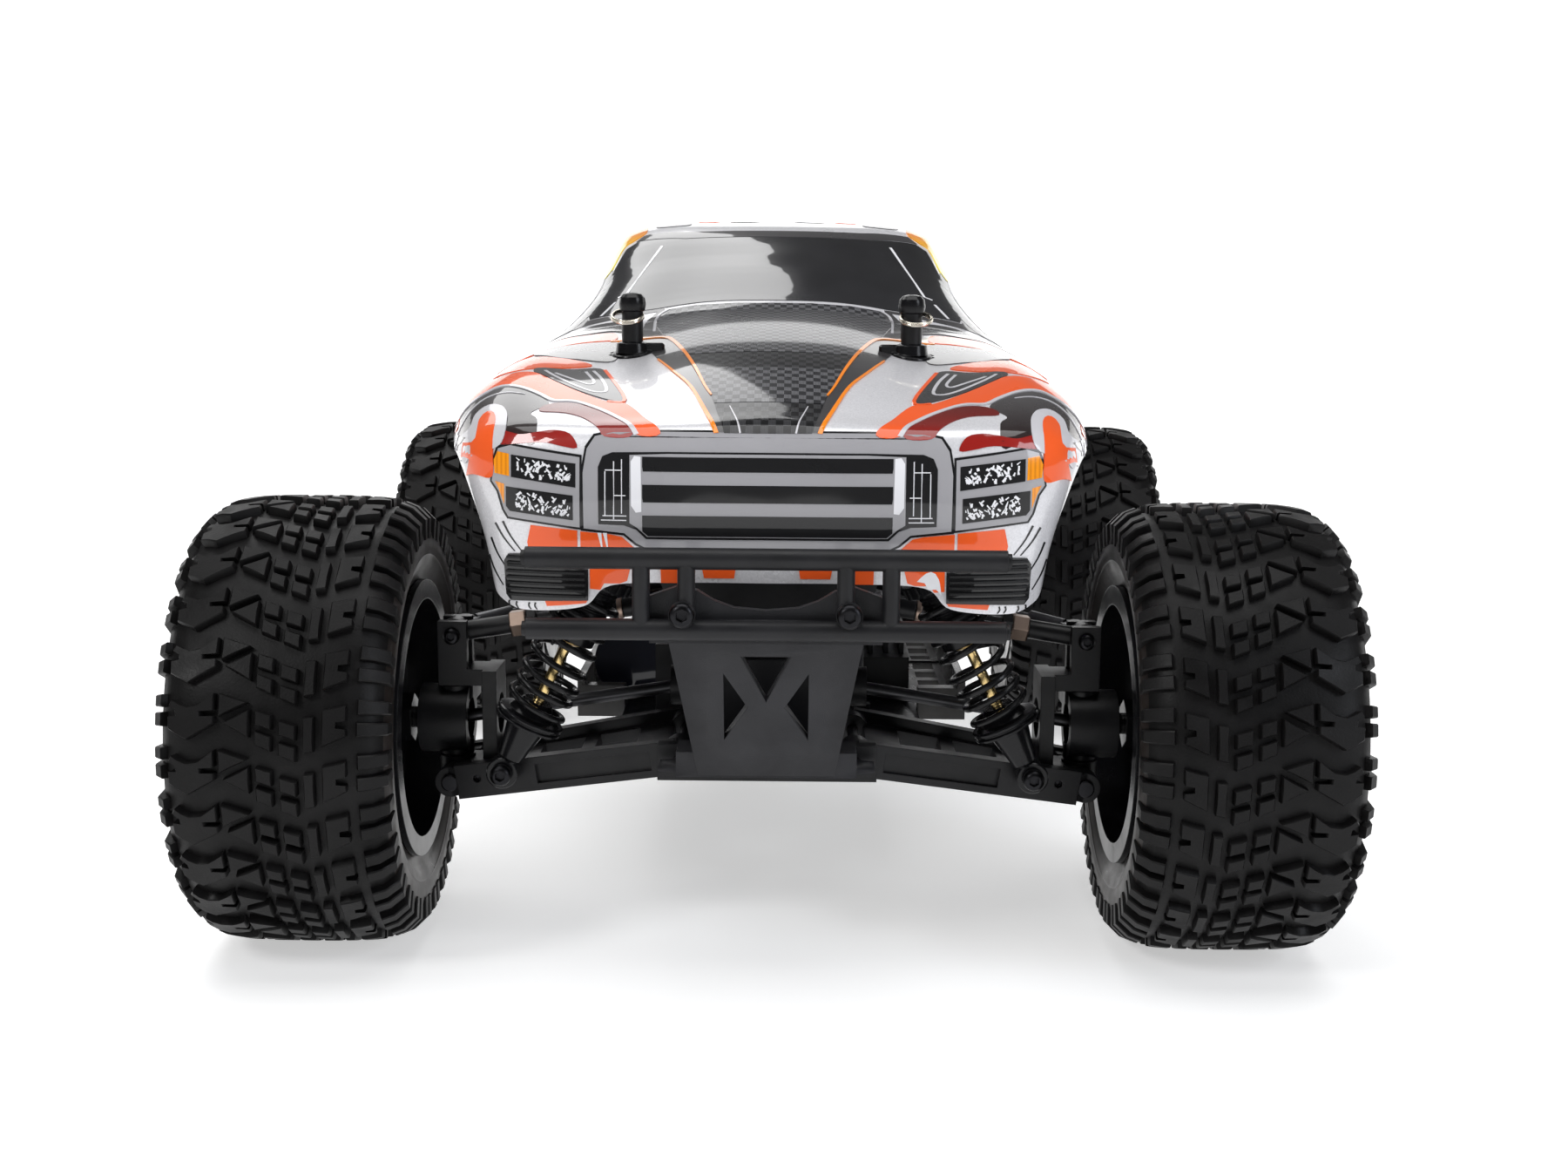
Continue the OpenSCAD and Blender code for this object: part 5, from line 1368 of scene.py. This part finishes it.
def make_screws():
    chassis = Build()
    for s in (-1, 1):
        chassis.screw((s * 20.5, -206.6, 104.3), (0, -1, 0), 3.2)
        for y in (-60, 0, 60):
            chassis.screw((s * 38, y, RIDE_H + 0.3), (0, 0, -1), 2.6)
        for end in (-1, 1):
            chassis.screw((s * 6, end * 126, DIFF_Z + 22.1), (0, 0, 1), 2.4)
            chassis.screw((s * SHOCK_TOP.x, end * 166.2, SHOCK_TOP.z), (0, end, 0), 2.4)
            # the front ones follow the bent nose
            for y, rise in ((158, 4.6), (122, 0.6)):
                at = (s * 10, end * y, RIDE_H + 0.2 + (rise if end < 0 else 0))
                chassis.screw(at, (0, 0, -1), 2.4)
            chassis.screw((s * 12, end * 151.3, DIFF_Z + 20), (0, end, 0), 2.0)
    for x in (8.5, -8.5):
        chassis.screw((-INNER_X + x, -72.4, 71.2), (0, 1, 0), 1.0)
    chassis.make("screws_chassis", "chassis", "screw_black", "bright_steel")
    lean = math.atan2(-LINK_DROP, OUTER_X - INNER_X)
    slope = Vector((math.cos(lean), 0, math.sin(lean)))
    up = Vector((-slope.z, 0, slope.x))
    inner = Vector((INNER_X, AXLE_Y, LOWER_IN_Z))
    for corner, flip in CORNERS.items():
        arm, hub, link = Build(), Build(), Build()
        for along in (50.8, 56.8):
            at = inner + slope * along + up * 0.5
            arm.screw(at + Vector((0, -13.1 if along > 52 else -14.0, 0)), (0, -1, 0), 1.5)
        for y in (-13.5, 13.5):
            at = Vector((OUTER_X, AXLE_Y + y, LOWER_OUT_Z))
            arm.lathe([(-0.1, 2.4), (0.5, 2.4), (0.7, 2.1), (0.7, 0.3)], at, (0, y, 0), 20)
        arm.screw(Vector((SHOCK_FOOT.x, SHOCK_FOOT.y - 4.5, SHOCK_FOOT.z)), (0, -1, 0), 2.9)
        arm.make("arm_screws_" + corner, "arm_" + corner, "screw_black", "bright_steel", flip=flip)
        for y in (-7, 7):
            hub.screw(Vector((OUTER_X, AXLE_Y + y, UPPER_OUT_Z)), (0, y, 0), 2.3)
        if corner.startswith("front"):
            hub.screw(Vector((OUTER_X, AXLE_Y, AXLE_Z + 15)), (0, 0, 1), 2.6)
        hub.make("hub_screws_" + corner, "hub_" + corner, "screw_black", "bright_steel", flip=flip)
        top = Vector((INNER_X, AXLE_Y, UPPER_IN_Z))
        link.lathe([(44.2, 2.0), (44.2, 3.6), (44.6, 3.9), (48.6, 3.9), (49, 3.6), (49, 2.0)],
                   top, slope, 6)
        link.lathe([(17, 1.95), (17.2, 2.9), (18.6, 2.9), (18.8, 1.95)], top, slope, 20)
        link.make("link_nut_" + corner, "link_" + corner, "copper", "brass", flip=flip)


def make_wheel_trim():
    rim, nut = Build(), Build()
    outer = WHEEL_X + 28.2
    # bead ring with its row of screws
    rim.lathe([(-0.2, 34), (0.6, 34.2), (1.2, 35), (1.2, 38.3), (0.7, 38.9), (-0.2, 38.9), (-0.2, 34)],
              (outer, AXLE_Y, AXLE_Z), (1, 0, 0), 72)
    for a in round_angles(12):
        rim.screw((outer + 1.1, AXLE_Y + 36.6 * math.cos(a), AXLE_Z + 36.6 * math.sin(a)), (1, 0, 0), 1.5)
    # ribs inside the barrel, by the spokes
    for k in range(6):
        a = math.radians(60 * k + 30)
        away = Vector((0, math.cos(a), math.sin(a)))
        rib = ((9, 116.5), (18, 115.4), (27, 115), (33.4, 117))
        rim.tube([Vector((0, AXLE_Y, AXLE_Z)) + away * r + Vector((x, 0, 0)) for r, x in rib], 1.5, 8)
    nut.lathe([(-0.2, 5.6), (0.2, 6.0), (0.9, 6.0), (1.0, 4.3)], (116, AXLE_Y, AXLE_Z), (1, 0, 0), 32)
    nut.lathe([(0, 2.1), (0, 3.9), (0.5, 4.4), (4.6, 4.4), (5.2, 3.8), (5.6, 3.0), (5.6, 2.1)],
              (116.8, AXLE_Y, AXLE_Z), (1, 0, 0), 6)
    for corner, flip in CORNERS.items():
        rim.make("rim_trim_" + corner, "wheel_" + corner, "rim_black", "rim_black", flip=flip)
        nut.make("wheel_nut_" + corner, "wheel_" + corner, "bright_steel", "bright_steel", flip=flip)


def make_electrics():
    label, strap, fins = Build(), Build(), Build()
    label.box((-44.4, -58, DECK_Z + 23.6), (-22.6, -10, DECK_Z + 24.35), 0.2)
    label.box((-44.4, 12, DECK_Z + 23.6), (-22.6, 66, DECK_Z + 24.35), 0.2)
    label.make("battery_bands", "chassis", "battery_label", "battery_wrap")
    strap.box((-50, -5, DECK_Z + 25.15), (-17, 7, DECK_Z + 26.05), 0.35)
    strap.box((-30, -7.2, DECK_Z + 25.6), (-20, 9.2, DECK_Z + 27.4), 0.5)
    strap.make("battery_strap", "chassis", "strap", "black_plastic")
    for y in (20, 28, 36, 44, 52, 60):
        fins.lathe([(-0.9, 18.02), (-0.6, 18.6), (0.6, 18.6), (0.9, 18.02)],
                   (24, y, DIFF_Z), (0, 1, 0), 48)
    fins.make("motor_fins", "chassis", "motor_steel", "motor_steel")


make_screws()
make_wheel_trim()
make_electrics()
